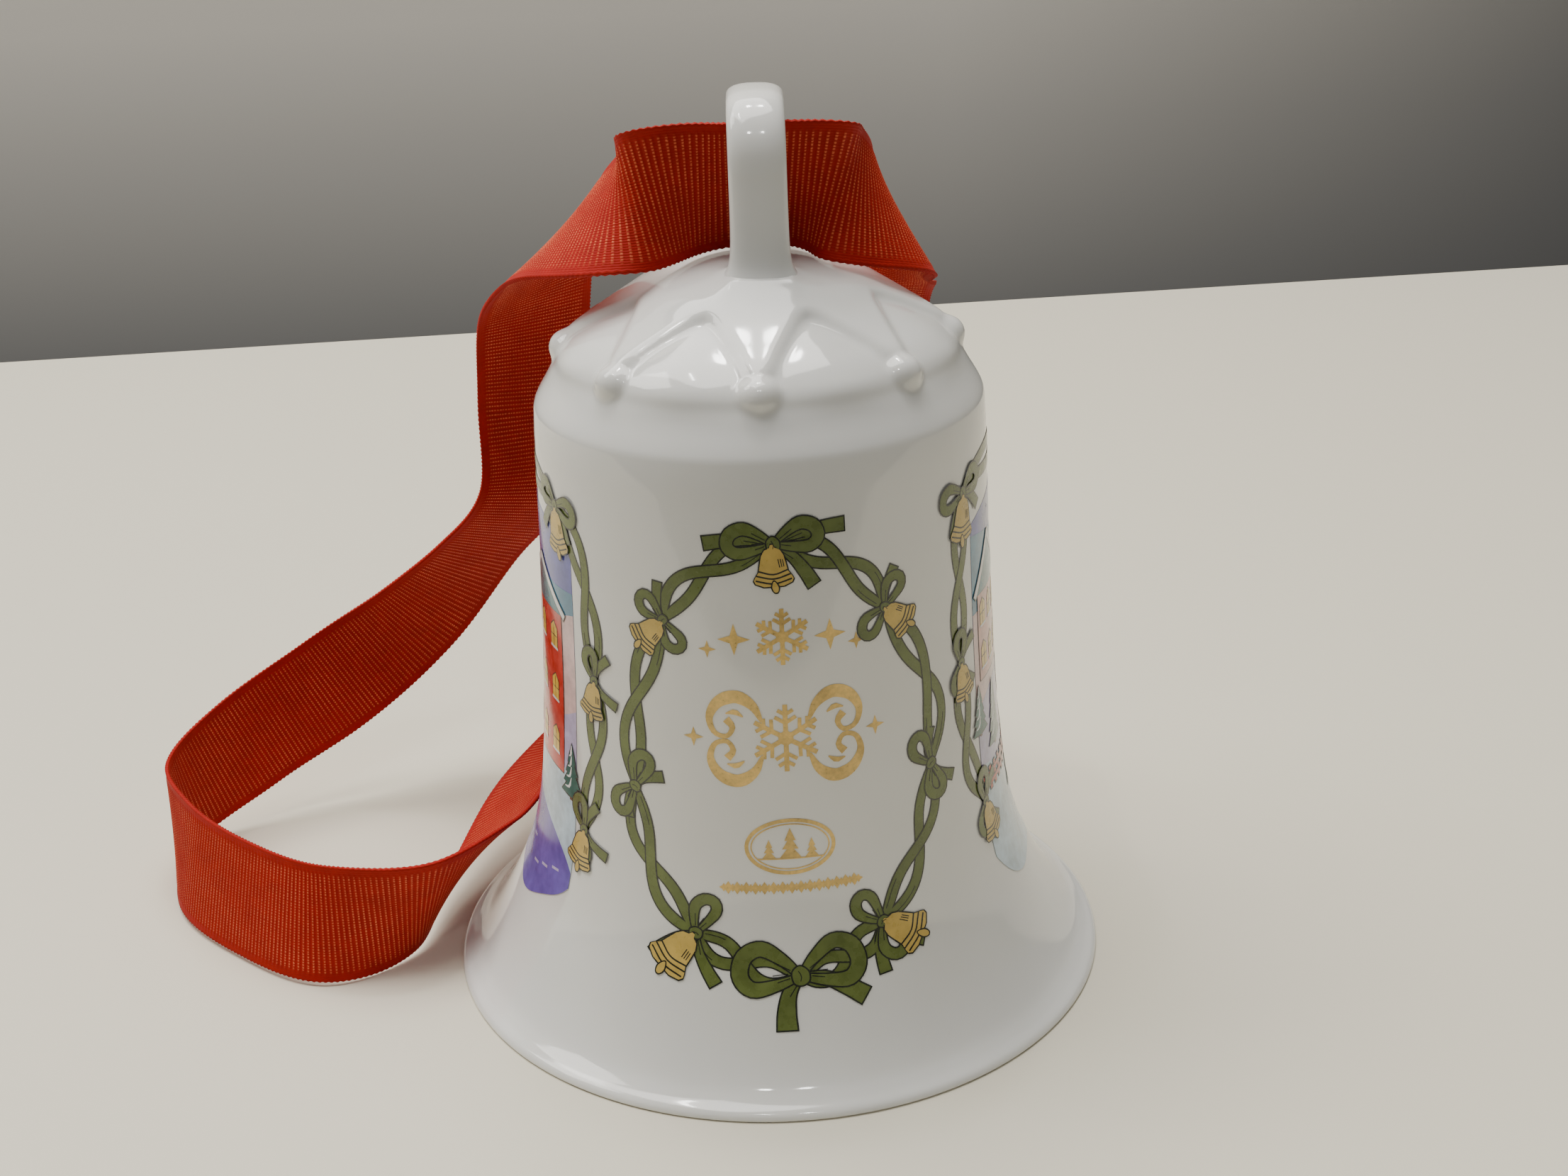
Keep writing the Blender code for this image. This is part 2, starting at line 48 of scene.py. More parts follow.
# Bell
MOUTH_RADIUS = 40.0
SHOULDER_RADIUS = 25.6
SHOULDER_HEIGHT = 70.9
CROWN_RISE = 16.1
WALL = 2.8
FOOT_RING_WIDTH = 3.0
LIP_EDGE = 0.4
AROUND = 352
CROWN_ROWS = 120
VAULT_ROWS = 36
CROWN_STEPS = 30
WALL_OUTLINE = [
    (0.0, 0.985), (0.005, 1.0), (0.014, 0.975), (0.024, 0.89), (0.042, 0.785), (0.083, 0.64),
    (0.139, 0.485), (0.208, 0.33), (0.305, 0.206), (0.416, 0.135), (0.556, 0.082), (0.722, 0.044),
    (0.889, 0.02), (0.975, 0.008),
]
BORE_OUTLINE = [
    (0.0, 1.0), (0.02, 0.88), (0.06, 0.715), (0.113, 0.575), (0.169, 0.43), (0.226, 0.32),
    (0.305, 0.217), (0.416, 0.145), (0.556, 0.09), (0.722, 0.05), (0.889, 0.025), (0.96, 0.01),
]
CROWN_OUTLINE = [
    (0.0, 1.0), (0.04, 0.993), (0.10, 0.973), (0.20, 0.935), (0.30, 0.902), (0.385, 0.884),
    (0.455, 0.853), (0.54, 0.787), (0.63, 0.69), (0.74, 0.57), (0.86, 0.45), (0.94, 0.31),
    (0.985, 0.16), (1.0, 0.0),
]

# Crown relief
ARCHES = 8
ARCH_FOOT_SHARE = 0.45
ARCH_TOP_SHARE = 0.757
ARCH_SPAN = 0.87
RELIEF = 0.62
RAISED_EDGE = 2.3
CREASE_DEPTH = 0.06
CREASE_INSET = 0.6
CREASE_WIDTH = 0.7
PETAL_SWELL = 0.3
PEARL_SHARE = 0.415
PEARL_RADIUS = 2.7
PEARL_RISE = 1.4
PEARL_SINK = 0.5
PEARL_BLEND = 0.6

# Strap loop
STRAP_WIDTH = 6.2
STRAP_THICKNESS = 2.7
STRAP_DEPTH = 18.5
STRAP_RISE = 18.05
STRAP_CORNER = 6.0
STRAP_OFFSET = 0.7
STRAP_SECTION = 56
STRAP_SIDE_POWER = 0.78
STRAP_FACE_POWER = 0.8
FOOT_FLARE = 1.7
FOOT_FLARE_REACH = 0.8
LEG_SWELL = 0.3
LEG_SWELL_REACH = 3.0
LUTED_SWELL = 1.0
LUTED_REACH = 1.9
LUTED_POWER = 1.2
LUTED_OUTSET = 0.5

# Clapper
EYELET_RADIUS = 1.4
EYELET_HALF_WIDTH = 3.2
EYELET_DROP = 7.9
WIRE_RADIUS = 0.7
LINK_RADIUS = 3.4
EYE_RADIUS = 2.1
BEAD_RADIUS = 6.5
BEAD_HEIGHT = 17.0
STOP_RADIUS = 1.7
STOP_LENGTH = 2.4
STOP_GAP = 0.15
STOP_SHORTER = 0.3
WIRE_TAIL = 0.8
RUNNING_GAP = 0.3

# Ribbon
RIBBON_WIDTH = 15.0
RIBBON_THICKNESS = 0.34
RIBBON_LAP = 12.0
LAP_GAP = 0.12
RIB_PITCH = 0.64
RIB_HEIGHT = 0.07
SELVAGE = 1.1
SEAM_AFTER = 27.3
SMOOTHED_OVER = 5.0
SELVAGE_EDGE = 0.3
SCALLOP = 0.07
STITCH_INSET = 2.5
STITCHES = 5
STITCH_FIRST = -5.4
STITCH_PITCH = 2.3
STITCH_LENGTH = 1.7
THREAD_RADIUS = 0.13
THREAD_BOW = 0.16
THREAD_SINK = 0.12
RIBBON_ROUTE = [
    ((15.2, 33.0, 72.0), (-0.97, -0.20, 0.02)),
    ((15.7, 21.5, 82.4), (-0.74, 0.30, 0.58)),
    ((16.9, 8.0, 88.6), (-0.45, 0.40, 0.80)),
    ((10.8, -0.4, 93.1), (-0.15, 0.12, 0.98)),
    ((4.5, -0.7, 94.55), (0.0, -0.28, 0.95)),
    ((-3.0, -0.9, 94.55), (0.0, -0.30, 0.95)),
    ((-9.6, -2.4, 94.1), (-0.04, -0.02, 0.98)),
    ((-15.6, -0.8, 92.2), (0.34, 0.42, 0.84)),
    ((-22.0, 9.5, 88.0), (0.65, 0.42, 0.64)),
    ((-25.5, 21.5, 81.5), (0.81, 0.42, 0.41)),
    ((-28.5, 32.0, 72.0), (0.93, 0.36, 0.09)),
    ((-30.0, 37.5, 59.5), (0.95, 0.29, -0.15)),
    ((-32.0, 40.5, 45.5), (0.82, 0.54, -0.20)),
    ((-40.5, 44.5, 35.0), (0.64, 0.67, -0.39)),
    ((-50.5, 44.0, 25.0), (0.53, 0.38, -0.76)),
    ((-62.0, 40.0, 17.5), (0.45, 0.01, -0.90)),
    ((-73.0, 33.5, 12.2), (0.41, 0.15, -0.90)),
    ((-81.0, 23.0, 8.2), (0.04, 0.20, -0.98)),
    ((-77.0, 9.5, 8.0), (-0.15, -0.14, -0.98)),
    ((-67.5, -1.0, 7.8), (-0.09, -0.24, -0.97)),
    ((-55.5, -8.5, 7.9), (-0.10, -0.18, -0.98)),
    ((-43.5, -5.0, 8.0), (-0.26, 0.25, -0.93)),
    ((-37.5, 8.5, 9.0), (-0.63, 0.46, -0.63)),
    ((-32.5, 21.5, 11.8), (-0.72, 0.49, -0.49)),
    ((-24.0, 33.0, 15.5), (-0.73, 0.59, -0.35)),
    ((-14.5, 42.5, 18.5), (-0.74, 0.61, 0.29)),
    ((-3.5, 49.0, 24.5), (-0.70, 0.44, 0.56)),
    ((6.0, 49.5, 35.0), (-0.84, 0.28, 0.47)),
    ((12.0, 44.5, 47.0), (-0.96, 0.07, 0.26)),
    ((14.6, 39.0, 59.5), (-0.98, -0.08, 0.17)),
]


# ---------------------------------------------------------------- curves and meshes

def catmull_rom(a, b, c, d, t):
    """The point at share t of the span from b to c."""
    straight, curve, twist = c - a, 2 * a - 5 * b + 4 * c - d, 3 * b - a - 3 * c + d
    return 0.5 * (2 * b + straight * t + curve * t**2 + twist * t**3)


def smooth_line(points, steps):
    """A Catmull-Rom curve through the points, with each span between two of them cut in steps."""
    points = [np.array(p, float) for p in points]
    ends = [2 * points[0] - points[1], *points, 2 * points[-1] - points[-2]]
    line = []
    for a, b, c, d in zip(ends, ends[1:], ends[2:], ends[3:]):
        line += [catmull_rom(a, b, c, d, t) for t in np.linspace(0, 1, steps, endpoint=False)]
    return np.array(line + [points[-1]])


def closed_line(points, steps):
    """A closed Catmull-Rom curve through the points; its first point isn't repeated at the end."""
    points = [np.array(p, float) for p in points]
    count = len(points)
    line = []
    for i in range(count):
        a, b, c, d = (points[(i + k) % count] for k in (-1, 0, 1, 2))
        line += [catmull_rom(a, b, c, d, t) for t in np.linspace(0, 1, steps, endpoint=False)]
    return np.array(line)


def lengths(line):
    """How far along the line each of its points is."""
    return np.concatenate([[0], np.cumsum(np.linalg.norm(np.diff(line, axis=0), axis=1))])


def resampled(line, count):
    """The line cut again in count points, evenly along its length."""
    along = lengths(line)
    wanted = np.linspace(0, along[-1], count)
    return np.column_stack([np.interp(wanted, along, column) for column in line.T])


def unit(vectors):
    return vectors / np.maximum(np.linalg.norm(vectors, axis=-1, keepdims=True), 1e-12)


def soft_step(x):
    """0 below 0 and 1 above 1, with a smooth rise between."""
    x = np.clip(x, 0, 1)
    return x * x * (3 - 2 * x)


def normals_of(line):
    """Unit normals on the right of a line in the plane, as (radius, height)."""
    way = unit(np.gradient(line, axis=0))
    return np.column_stack([way[:, 1], -way[:, 0]])


def grid_faces(rows, columns, wrap=False, first=0):
    """Quads over a grid of points stored row by row; wrap joins the last column to the first."""
    i, j = np.meshgrid(np.arange(rows - 1), np.arange(columns if wrap else columns - 1), indexing="ij")
    k = (j + 1) % columns
    quads = np.stack([i * columns + j, i * columns + k, (i + 1) * columns + k, (i + 1) * columns + j], -1)
    return quads.reshape(-1, 4) + first


def ring_faces(rows, around):
    """Quads over a closed ring: the last row joins the first one."""
    last = (rows - 1) * around
    faces = [tuple(f) for f in grid_faces(rows, around, wrap=True)]
    return faces + [(last + j, last + (j + 1) % around, (j + 1) % around, j) for j in range(around)]


def end_caps(rows, around):
    """One face on each end of a tube of so many rows."""
    last = (rows - 1) * around
    return [tuple(range(around))[::-1], tuple(last + i for i in range(around))]


def mesh_object(name, points, faces, look, slot, body, replaced=(), smooth=True):
    """A mesh from points in millimetres, which rides on a body and stands for the replaced CAD nodes."""
    mesh = bpy.data.meshes.new(name)
    mesh.from_pydata((np.asarray(points) * MM).tolist(), [], [tuple(f) for f in faces])
    if smooth:
        mesh.shade_smooth()
    mesh.materials.append(look)
    obj = bpy.data.objects.new(name, mesh)
    bpy.context.scene.collection.objects.link(obj)
    if slot is None:
        return obj
    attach(obj, body)
    if replaced:
        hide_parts(*replaced)
    return obj


def turned_points(line, around):
    """A profile of (radius, height) turned about the Z axis, row by row."""
    turn = np.linspace(0, 2 * math.pi, around, endpoint=False)
    x = line[:, :1] * np.cos(turn)
    y = line[:, :1] * np.sin(turn)
    z = np.repeat(line[:, 1:], around, axis=1)
    return np.stack([x, y, z], -1).reshape(-1, 3)


def tube(line, radii, around=20, aside=None):
    """Points and quads of a round tube along a line, with a closed cap at each end."""
    line = np.asarray(line, float)
    way = unit(np.gradient(line, axis=0))
    aside = np.array([0.0, 1.0, 0.0]) if aside is None else aside
    side = unit(aside - np.sum(way * aside, 1)[:, None] * way)
    other = np.cross(way, side)
    turn = np.linspace(0, 2 * math.pi, around, endpoint=False)
    spokes = np.cos(turn)[None, :, None] * side[:, None] + np.sin(turn)[None, :, None] * other[:, None]
    radii = np.broadcast_to(radii, len(line))
    points = (line[:, None] + spokes * radii[:, None, None]).reshape(-1, 3)
    faces = [tuple(f) for f in grid_faces(len(line), around, wrap=True)]
    return points, faces + end_caps(len(line), around)


def joined(parts):
    """Several (points, faces) as one."""
    points, faces, count = [], [], 0
    for some_points, some_faces in parts:
        points.append(np.asarray(some_points))
        faces += [tuple(int(i) + count for i in f) for f in some_faces]
        count += len(some_points)
    return np.vstack(points), faces


# ---------------------------------------------------------------- materials

class Nodes:
    """A short way to build one material's nodes."""

    def __init__(self, name, colour, roughness, **constants):
        self.material = bpy.data.materials.new(name)
        self.material.use_nodes = True
        self.tree = self.material.node_tree
        self.shader = self.tree.nodes["Principled BSDF"]
        self.shader.inputs["Base Color"].default_value = (*colour, 1)
        self.shader.inputs["Roughness"].default_value = roughness
        for socket, value in constants.items():
            self.shader.inputs[socket.replace("_", " ")].default_value = value

    def add(self, kind, **settings):
        node = self.tree.nodes.new(kind)
        for key, value in settings.items():
            if key in node.inputs:
                node.inputs[key].default_value = value
            else:
                setattr(node, key, value)
        return node

    def link(self, output, target):
        self.tree.links.new(output, target)

    def place(self):
        """Object coordinates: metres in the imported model's frame, fixed to the piece."""
        return self.add("ShaderNodeTexCoord").outputs["Object"]

    def noise(self, scale, detail=3.0, where=None, roughness=0.5):
        node = self.add("ShaderNodeTexNoise", Scale=scale, Detail=detail, Roughness=roughness)
        self.link(where or self.place(), node.inputs["Vector"])
        return node.outputs["Fac"]

    def ramp(self, value, stops):
        node = self.add("ShaderNodeValToRGB")
        while len(node.color_ramp.elements) < len(stops):
            node.color_ramp.elements.new(0.5)
        for element, (position, colour) in zip(node.color_ramp.elements, stops):
            element.position = position
            element.color = (*colour, 1) if len(colour) == 3 else colour
        self.link(value, node.inputs["Fac"])
        return node.outputs["Color"]

    def map(self, value, low, high, to_low, to_high):
        node = self.add("ShaderNodeMapRange")
        for name, number in zip(("From Min", "From Max", "To Min", "To Max"), (low, high, to_low, to_high)):
            node.inputs[name].default_value = number
        self.link(value, node.inputs["Value"])
        return node.outputs["Result"]

    def math(self, operation, a, b=0.0):
        node = self.add("ShaderNodeMath", operation=operation)
        for socket, value in zip(node.inputs, (a, b)):
            if isinstance(value, (int, float)):
                socket.default_value = value
            else:
                self.link(value, socket)
        return node.outputs["Value"]

    def mix(self, share, a, b):
        node = self.add("ShaderNodeMix", data_type="RGBA")
        for name, value in (("Factor", share), ("A", a), ("B", b)):
            socket = [s for s in node.inputs if s.name == name and s.enabled][0]
            if isinstance(value, tuple):
                socket.default_value = (*value, 1)
            else:
                self.link(value, socket)
        return [s for s in node.outputs if s.enabled][0]

    def colour(self, output):
        self.link(output, self.shader.inputs["Base Color"])

    def roughness(self, output):
        self.link(output, self.shader.inputs["Roughness"])

    def bump(self, height, strength, distance):
        node = self.add("ShaderNodeBump", Strength=strength, Distance=distance)
        self.link(height, node.inputs["Height"])
        self.link(node.outputs["Normal"], self.shader.inputs["Normal"])


def porcelain_look():
    """White glaze: faint waves and pinholes, a few iron specks, and bare biscuit under the foot ring."""
    m = Nodes("porcelain_glaze", (0.8, 0.8, 0.78), 0.07, IOR=1.52, Coat_Weight=0.3, Coat_Roughness=0.02)
    m.shader.inputs["Subsurface Weight"].default_value = 0.12
    m.shader.inputs["Subsurface Radius"].default_value = (0.0016, 0.0014, 0.0012)
    m.shader.inputs["Subsurface Scale"].default_value = 1.0
    where = m.place()
    tone = m.ramp(m.noise(38.0, 3.0, where), [(0.3, (0.775, 0.775, 0.745)), (0.7, (0.83, 0.83, 0.8))])
    specks = m.add("ShaderNodeTexVoronoi", Scale=62.0, Randomness=1.0)
    m.link(where, specks.inputs["Vector"])
    speck = m.map(specks.outputs["Distance"], 0.012, 0.028, 1.0, 0.0)
    rare = m.map(specks.outputs["Color"], 0.86, 0.9, 0.0, 1.0)
    tone = m.mix(m.math("MULTIPLY", m.math("MULTIPLY", speck, rare), 0.75), tone, (0.2, 0.17, 0.14))
    height = m.add("ShaderNodeSeparateXYZ")
    m.link(where, height.inputs["Vector"])
    biscuit = m.map(height.outputs["Z"], 0.00004, 0.00022, 1.0, 0.0)
    m.colour(m.mix(biscuit, tone, (0.72, 0.68, 0.61)))
    glaze = m.map(m.noise(150.0, 2.0, where), 0.3, 0.7, 0.07, 0.11)
    m.roughness(m.math("MAXIMUM", glaze, m.math("MULTIPLY", biscuit, 0.8)))
    m.bump(m.noise(95.0, 2.0, where), 0.12, 0.0003)
    return m.material


def print_look(name, colour, roughness=0.22, shade=0.25, metallic=0.0, grain=900.0):
    """A printed colour with the slight unevenness of a fired transfer."""
    m = Nodes(name, colour, roughness, Metallic=metallic, Coat_Weight=0.3, Coat_Roughness=0.08)
    where = m.place()
    cloudy = m.noise(260.0, 2.0, where)
    fine = m.noise(grain, 3.0, where)
    both = m.math("ADD", m.math("MULTIPLY", cloudy, 0.6), m.math("MULTIPLY", fine, 0.4))
    dark = tuple(c * (1 - shade) for c in colour)
    light = tuple(min(1.0, c * (1 + shade) + 0.02 * shade) for c in colour)
    m.colour(m.ramp(both, [(0.35, dark), (0.65, light)]))
    m.roughness(m.map(fine, 0.3, 0.7, roughness * 0.75, roughness * 1.35))
    m.bump(fine, 0.15, 0.00002)
    return m.material


def brass_look():
    """Drawn brass wire, a little tarnished."""
    m = Nodes("brass_wire", (0.72, 0.52, 0.25), 0.3, Metallic=1.0)
    where = m.place()
    stain = m.noise(420.0, 4.0, where)
    m.colour(m.ramp(stain, [(0.3, (0.42, 0.27, 0.11)), (0.55, (0.7, 0.5, 0.24)), (0.8, (0.86, 0.67, 0.36))]))
    m.roughness(m.map(stain, 0.3, 0.7, 0.42, 0.24))
    m.bump(m.noise(2600.0, 2.0, where), 0.2, 0.00002)
    return m.material


def ribbon_look():
    """Grosgrain: painted highlights on the knots in a row on each rib, painted shade in the gaps between
    ribs, and a tight plain selvage in the shaded colour.
    """
    m = Nodes("ribbon_weave_painted_light", (0.45, 0.02, 0.01), 0.62, Sheen_Weight=0.08, Sheen_Roughness=0.4)
    m.shader.inputs["Sheen Tint"].default_value = (1.0, 0.35, 0.22, 1)
    m.shader.inputs["Specular IOR Level"].default_value = 0.2
    weave = m.add("ShaderNodeAttribute", attribute_name="weave")
    split = m.add("ShaderNodeSeparateXYZ")
    m.link(weave.outputs["Vector"], split.inputs["Vector"])
    across, along, edge = (split.outputs[axis] for axis in "XYZ")
    rib = m.math("COSINE", m.math("MULTIPLY", along, 2 * math.pi / RIB_PITCH))
    crest = m.map(rib, 0.25, 0.95, 0.0, 1.0)
    uneven = m.noise(1.3, 3.0, weave.outputs["Vector"], 0.7)
    shifted = m.math("ADD", across, m.math("MULTIPLY", uneven, 0.5))
    knot = m.map(m.math("COSINE", m.math("MULTIPLY", shifted, 2 * math.pi / 0.36)), -0.6, 0.8, 0.1, 1.0)
    # the painted highlight made brighter and dimmer in patches at random
    uneven_highlight = m.map(m.noise(0.16, 3.0, weave.outputs["Vector"]), 0.3, 0.7, 0.4, 1.0)
    # painted highlight on the rib crests and their knots
    light = m.math("MULTIPLY", m.math("MULTIPLY", crest, knot), uneven_highlight)
    body = m.map(edge, SELVAGE * 0.85, SELVAGE * 1.25, 0.0, 1.0)
    light = m.math("MULTIPLY", light, body)
    # painted shade: the dark red between the ribs and over the selvage
    shaded_ground = m.mix(m.noise(0.5, 3.0, weave.outputs["Vector"]), (0.3, 0.004, 0.002), (0.45, 0.009, 0.004))
    # the lit copy of the red (painted highlight) over its shaded copy
    m.colour(m.mix(light, shaded_ground, (0.86, 0.19, 0.07)))
    m.roughness(m.map(light, 0.0, 1.0, 0.72, 0.5))
    yarn = m.math("COSINE", m.math("MULTIPLY", across, 2 * math.pi / 0.3))
    woven = m.math("ADD", m.math("MULTIPLY", yarn, 0.35), m.math("MULTIPLY", uneven, 0.9))
    m.bump(woven, 0.5, 0.00006)
    return m.material


def thread_look():
    """Twisted red sewing thread."""
    m = Nodes("red_thread", (0.5, 0.02, 0.012), 0.55, Sheen_Weight=0.4)
    twist = m.noise(2400.0, 2.0)
    m.colour(m.ramp(twist, [(0.3, (0.33, 0.008, 0.006)), (0.7, (0.66, 0.06, 0.03))]))
    m.bump(twist, 0.5, 0.00004)
    return m.material


# ---------------------------------------------------------------- bell

def wall_line(steps):
    """The wall's outside, from the mouth's edge up to the shoulder."""
    flare = MOUTH_RADIUS - SHOULDER_RADIUS
    points = [(SHOULDER_RADIUS + out * flare, up * SHOULDER_HEIGHT) for up, out in WALL_OUTLINE]
    return smooth_line(points, steps)


def bore_line(steps):
    """The wall's inside, from the foot ring up to the shoulder."""
    inner_shoulder = SHOULDER_RADIUS - WALL
    flare = MOUTH_RADIUS - LIP_EDGE - FOOT_RING_WIDTH - inner_shoulder
    points = [(inner_shoulder + out * flare, up * SHOULDER_HEIGHT) for up, out in BORE_OUTLINE]
    return smooth_line(points, steps)


def crown_line():
    """The crown's plain outside, from the shoulder up to the top."""
    points = [(out * SHOULDER_RADIUS, SHOULDER_HEIGHT + up * CROWN_RISE) for up, out in CROWN_OUTLINE]
    return smooth_line(points, CROWN_STEPS)


def crown_at(share):
    """Radius and height of the crown's plain outline, that many shares of its rise above the shoulder."""
    line = crown_line()
    heights = (line[:, 1] - SHOULDER_HEIGHT) / CROWN_RISE
    return np.interp(share, heights, line[:, 0]), SHOULDER_HEIGHT + share * CROWN_RISE


def arch_share(across):
    """The arches' edge, as a share of the crown's rise; across is 0 at an arch's middle and 1 at a pearl."""
    rise = np.clip(1 - (np.abs(across) / ARCH_SPAN) ** 1.5, 0, 1) ** 0.6
    return ARCH_FOOT_SHARE + (ARCH_TOP_SHARE - ARCH_FOOT_SHARE) * rise


def soft_maximum(a, b, blend):
    """The larger of two heights, with a rounded valley as wide as the blend where they meet."""
    share = np.clip(0.5 + 0.5 * (b - a) / blend, 0, 1)
    return a + (b - a) * share + 0.5 * blend * share * (1 - share)


def luted(radius, turn):
    """How far the glaze swells round the strap's two feet, at each point of the crown."""
    x, y = radius * np.cos(turn), radius * np.sin(turn)
    foot = STRAP_DEPTH / 2 - STRAP_THICKNESS / 2 + LUTED_OUTSET
    aside = np.maximum(np.abs(x - STRAP_OFFSET) - STRAP_WIDTH / 2, 0)
    along = np.maximum(np.abs(np.abs(y) - foot) - STRAP_THICKNESS / 2, 0)
    return LUTED_SWELL * np.exp(-((np.hypot(aside, along) / LUTED_REACH) ** LUTED_POWER))


def crown_relief(radius, share, across):
    """How far each point of one petal stands out: raised cap and ribs, swelling petals, and pearls."""
    half = math.pi / ARCHES
    height = SHOULDER_HEIGHT + share * CROWN_RISE
    points = np.stack([radius * np.cos(across * half), radius * np.sin(across * half), height], -1)

    edge_across = np.sin(np.linspace(-1, 1, 161) * math.pi / 2) * ARCH_SPAN
    edge_share = arch_share(edge_across)
    foot = np.linspace(ARCH_FOOT_SHARE, 0.3, 14)
    side = np.full(len(foot), ARCH_SPAN)
    sides = np.concatenate([-side, edge_across, side])
    shares = np.concatenate([foot[::-1], edge_share, foot])
    edge_radius, edge_height = crown_at(shares)
    turns = sides * half
    edge = np.stack([edge_radius * np.cos(turns), edge_radius * np.sin(turns), edge_height], -1)
    far = np.full(radius.shape, 1e9)
    for point in edge:
        far = np.minimum(far, np.linalg.norm(points - point, axis=-1))
    inside = (share < arch_share(across)) & (np.abs(across) < ARCH_SPAN)
    signed = np.where(inside, -far, far)
    raised = soft_step(0.5 + signed / RAISED_EDGE)
    crease = -CREASE_DEPTH * np.exp(-((signed + CREASE_INSET) / CREASE_WIDTH) ** 2)
    low = soft_step((share - 0.24) / 0.24)
    cap = 1 - 0.75 * soft_step((share - 0.74) / 0.2)
    out = RELIEF * low * cap * (raised - 0.45) + low * crease * cap
    swell = soft_step((share - 0.22) / 0.2) * (1 - soft_step((share - 0.6) / 0.16))
    out += PETAL_SWELL * swell * np.cos(np.clip(across / ARCH_SPAN, -1, 1) * math.pi / 2) ** 2

    pearl_radius, pearl_height = crown_at(PEARL_SHARE)
    for turn in (-half, half):
        pearl = np.array([pearl_radius * math.cos(turn), pearl_radius * math.sin(turn), pearl_height])
        away = np.linalg.norm(points - pearl, axis=-1)
        dome = PEARL_RISE * np.clip(1 - (away / PEARL_RADIUS) ** 2, 0, 1) - PEARL_SINK
        out = soft_maximum(out, dome, PEARL_BLEND)
    return out


def crown_rows(rows):
    """The crown's outside with its relief, from the shoulder to just under the top, row by row."""
    line = resampled(crown_line(), rows)
    outward = normals_of(line)
    share = (line[:, 1] - SHOULDER_HEIGHT) / CROWN_RISE
    columns = AROUND // ARCHES
    across = np.linspace(-1, 1, columns, endpoint=False)
    petal = crown_relief(
        np.repeat(line[:, :1], columns, 1), np.repeat(share[:, None], columns, 1), np.tile(across, (rows, 1))
    )
    turn = -math.pi / 2 + np.arange(AROUND) * 2 * math.pi / AROUND
    out = np.tile(petal, (1, ARCHES)) + luted(line[:, :1], turn)
    radius = line[:, :1] + outward[:, :1] * out
    height = line[:, 1:] + outward[:, 1:] * out
    return np.stack([radius * np.cos(turn), radius * np.sin(turn), height], -1)


def make_bell(look):
    """The whole shell as one closed mesh: crown and wall outside, the foot ring, bore and vault inside."""
    crown = crown_rows(CROWN_ROWS)[:-1][::-1]
    wall = wall_line(6)[:-1][::-1]
    foot = [[MOUTH_RADIUS - LIP_EDGE - 1.0, 0.0], [MOUTH_RADIUS - LIP_EDGE - 2.0, 0.0]]
    bore = bore_line(4)
    outside = crown_line()
    vault = outside - WALL * normals_of(outside)
    vault = resampled(vault[vault[:, 0] > 1.0], VAULT_ROWS)[1:]
    rest = np.vstack([wall, foot, bore, vault])
    turn = -math.pi / 2 + np.arange(AROUND) * 2 * math.pi / AROUND
    x = rest[:, :1] * np.cos(turn)
    y = rest[:, :1] * np.sin(turn)
    lower = np.stack([x, y, np.repeat(rest[:, 1:], AROUND, 1)], -1)
    grid = np.vstack([crown, lower])
    rows = len(grid)
    poles = [[0, 0, crown[0, :, 2].mean() + 0.01], [0, 0, vault[-1, 1] + 0.02]]
    points = np.vstack([grid.reshape(-1, 3), poles])
    faces = [tuple(f) for f in grid_faces(rows, AROUND, wrap=True)]
    top, ceiling = rows * AROUND, rows * AROUND + 1
    last = (rows - 1) * AROUND
    for i in range(AROUND):
        k = (i + 1) % AROUND
        faces.append((top, k, i))
        faces.append((ceiling, last + i, last + k))
    faces = [f[::-1] for f in faces]
    return mesh_object("porcelain_bell", points, faces, look, "porcelain", "bell", ["bell_body"])


def strap_line():
    """The strap's centreline in the YZ plane, from the front foot over the top to the back foot."""
    base = SHOULDER_HEIGHT + CROWN_RISE
    leg = STRAP_DEPTH / 2 - STRAP_THICKNESS / 2
    top = base + STRAP_RISE - STRAP_THICKNESS / 2
    front = [(-leg - out, base + up) for out, up in ((0.75, -3.5), (0.45, -1.6), (0.12, 0.6), (0, 3.5))]
    front += [(-leg, z) for z in np.linspace(base + 6, top - STRAP_CORNER - 1, 4)]
    for turn in np.linspace(0, math.pi / 2, 7):
        front.append((-leg + STRAP_CORNER * (1 - math.cos(turn)), top - STRAP_CORNER * (1 - math.sin(turn))))
    half = np.array(front)
    other = half[::-1] * [-1, 1]
    line = resampled(smooth_line(np.vstack([half, other]), 8), 190)
    return np.column_stack([np.full(len(line), STRAP_OFFSET), line])


def squared(share, power):
    """A sine or cosine with fuller shoulders, for a section between an oval and a box."""
    return np.sign(share) * np.abs(share) ** power


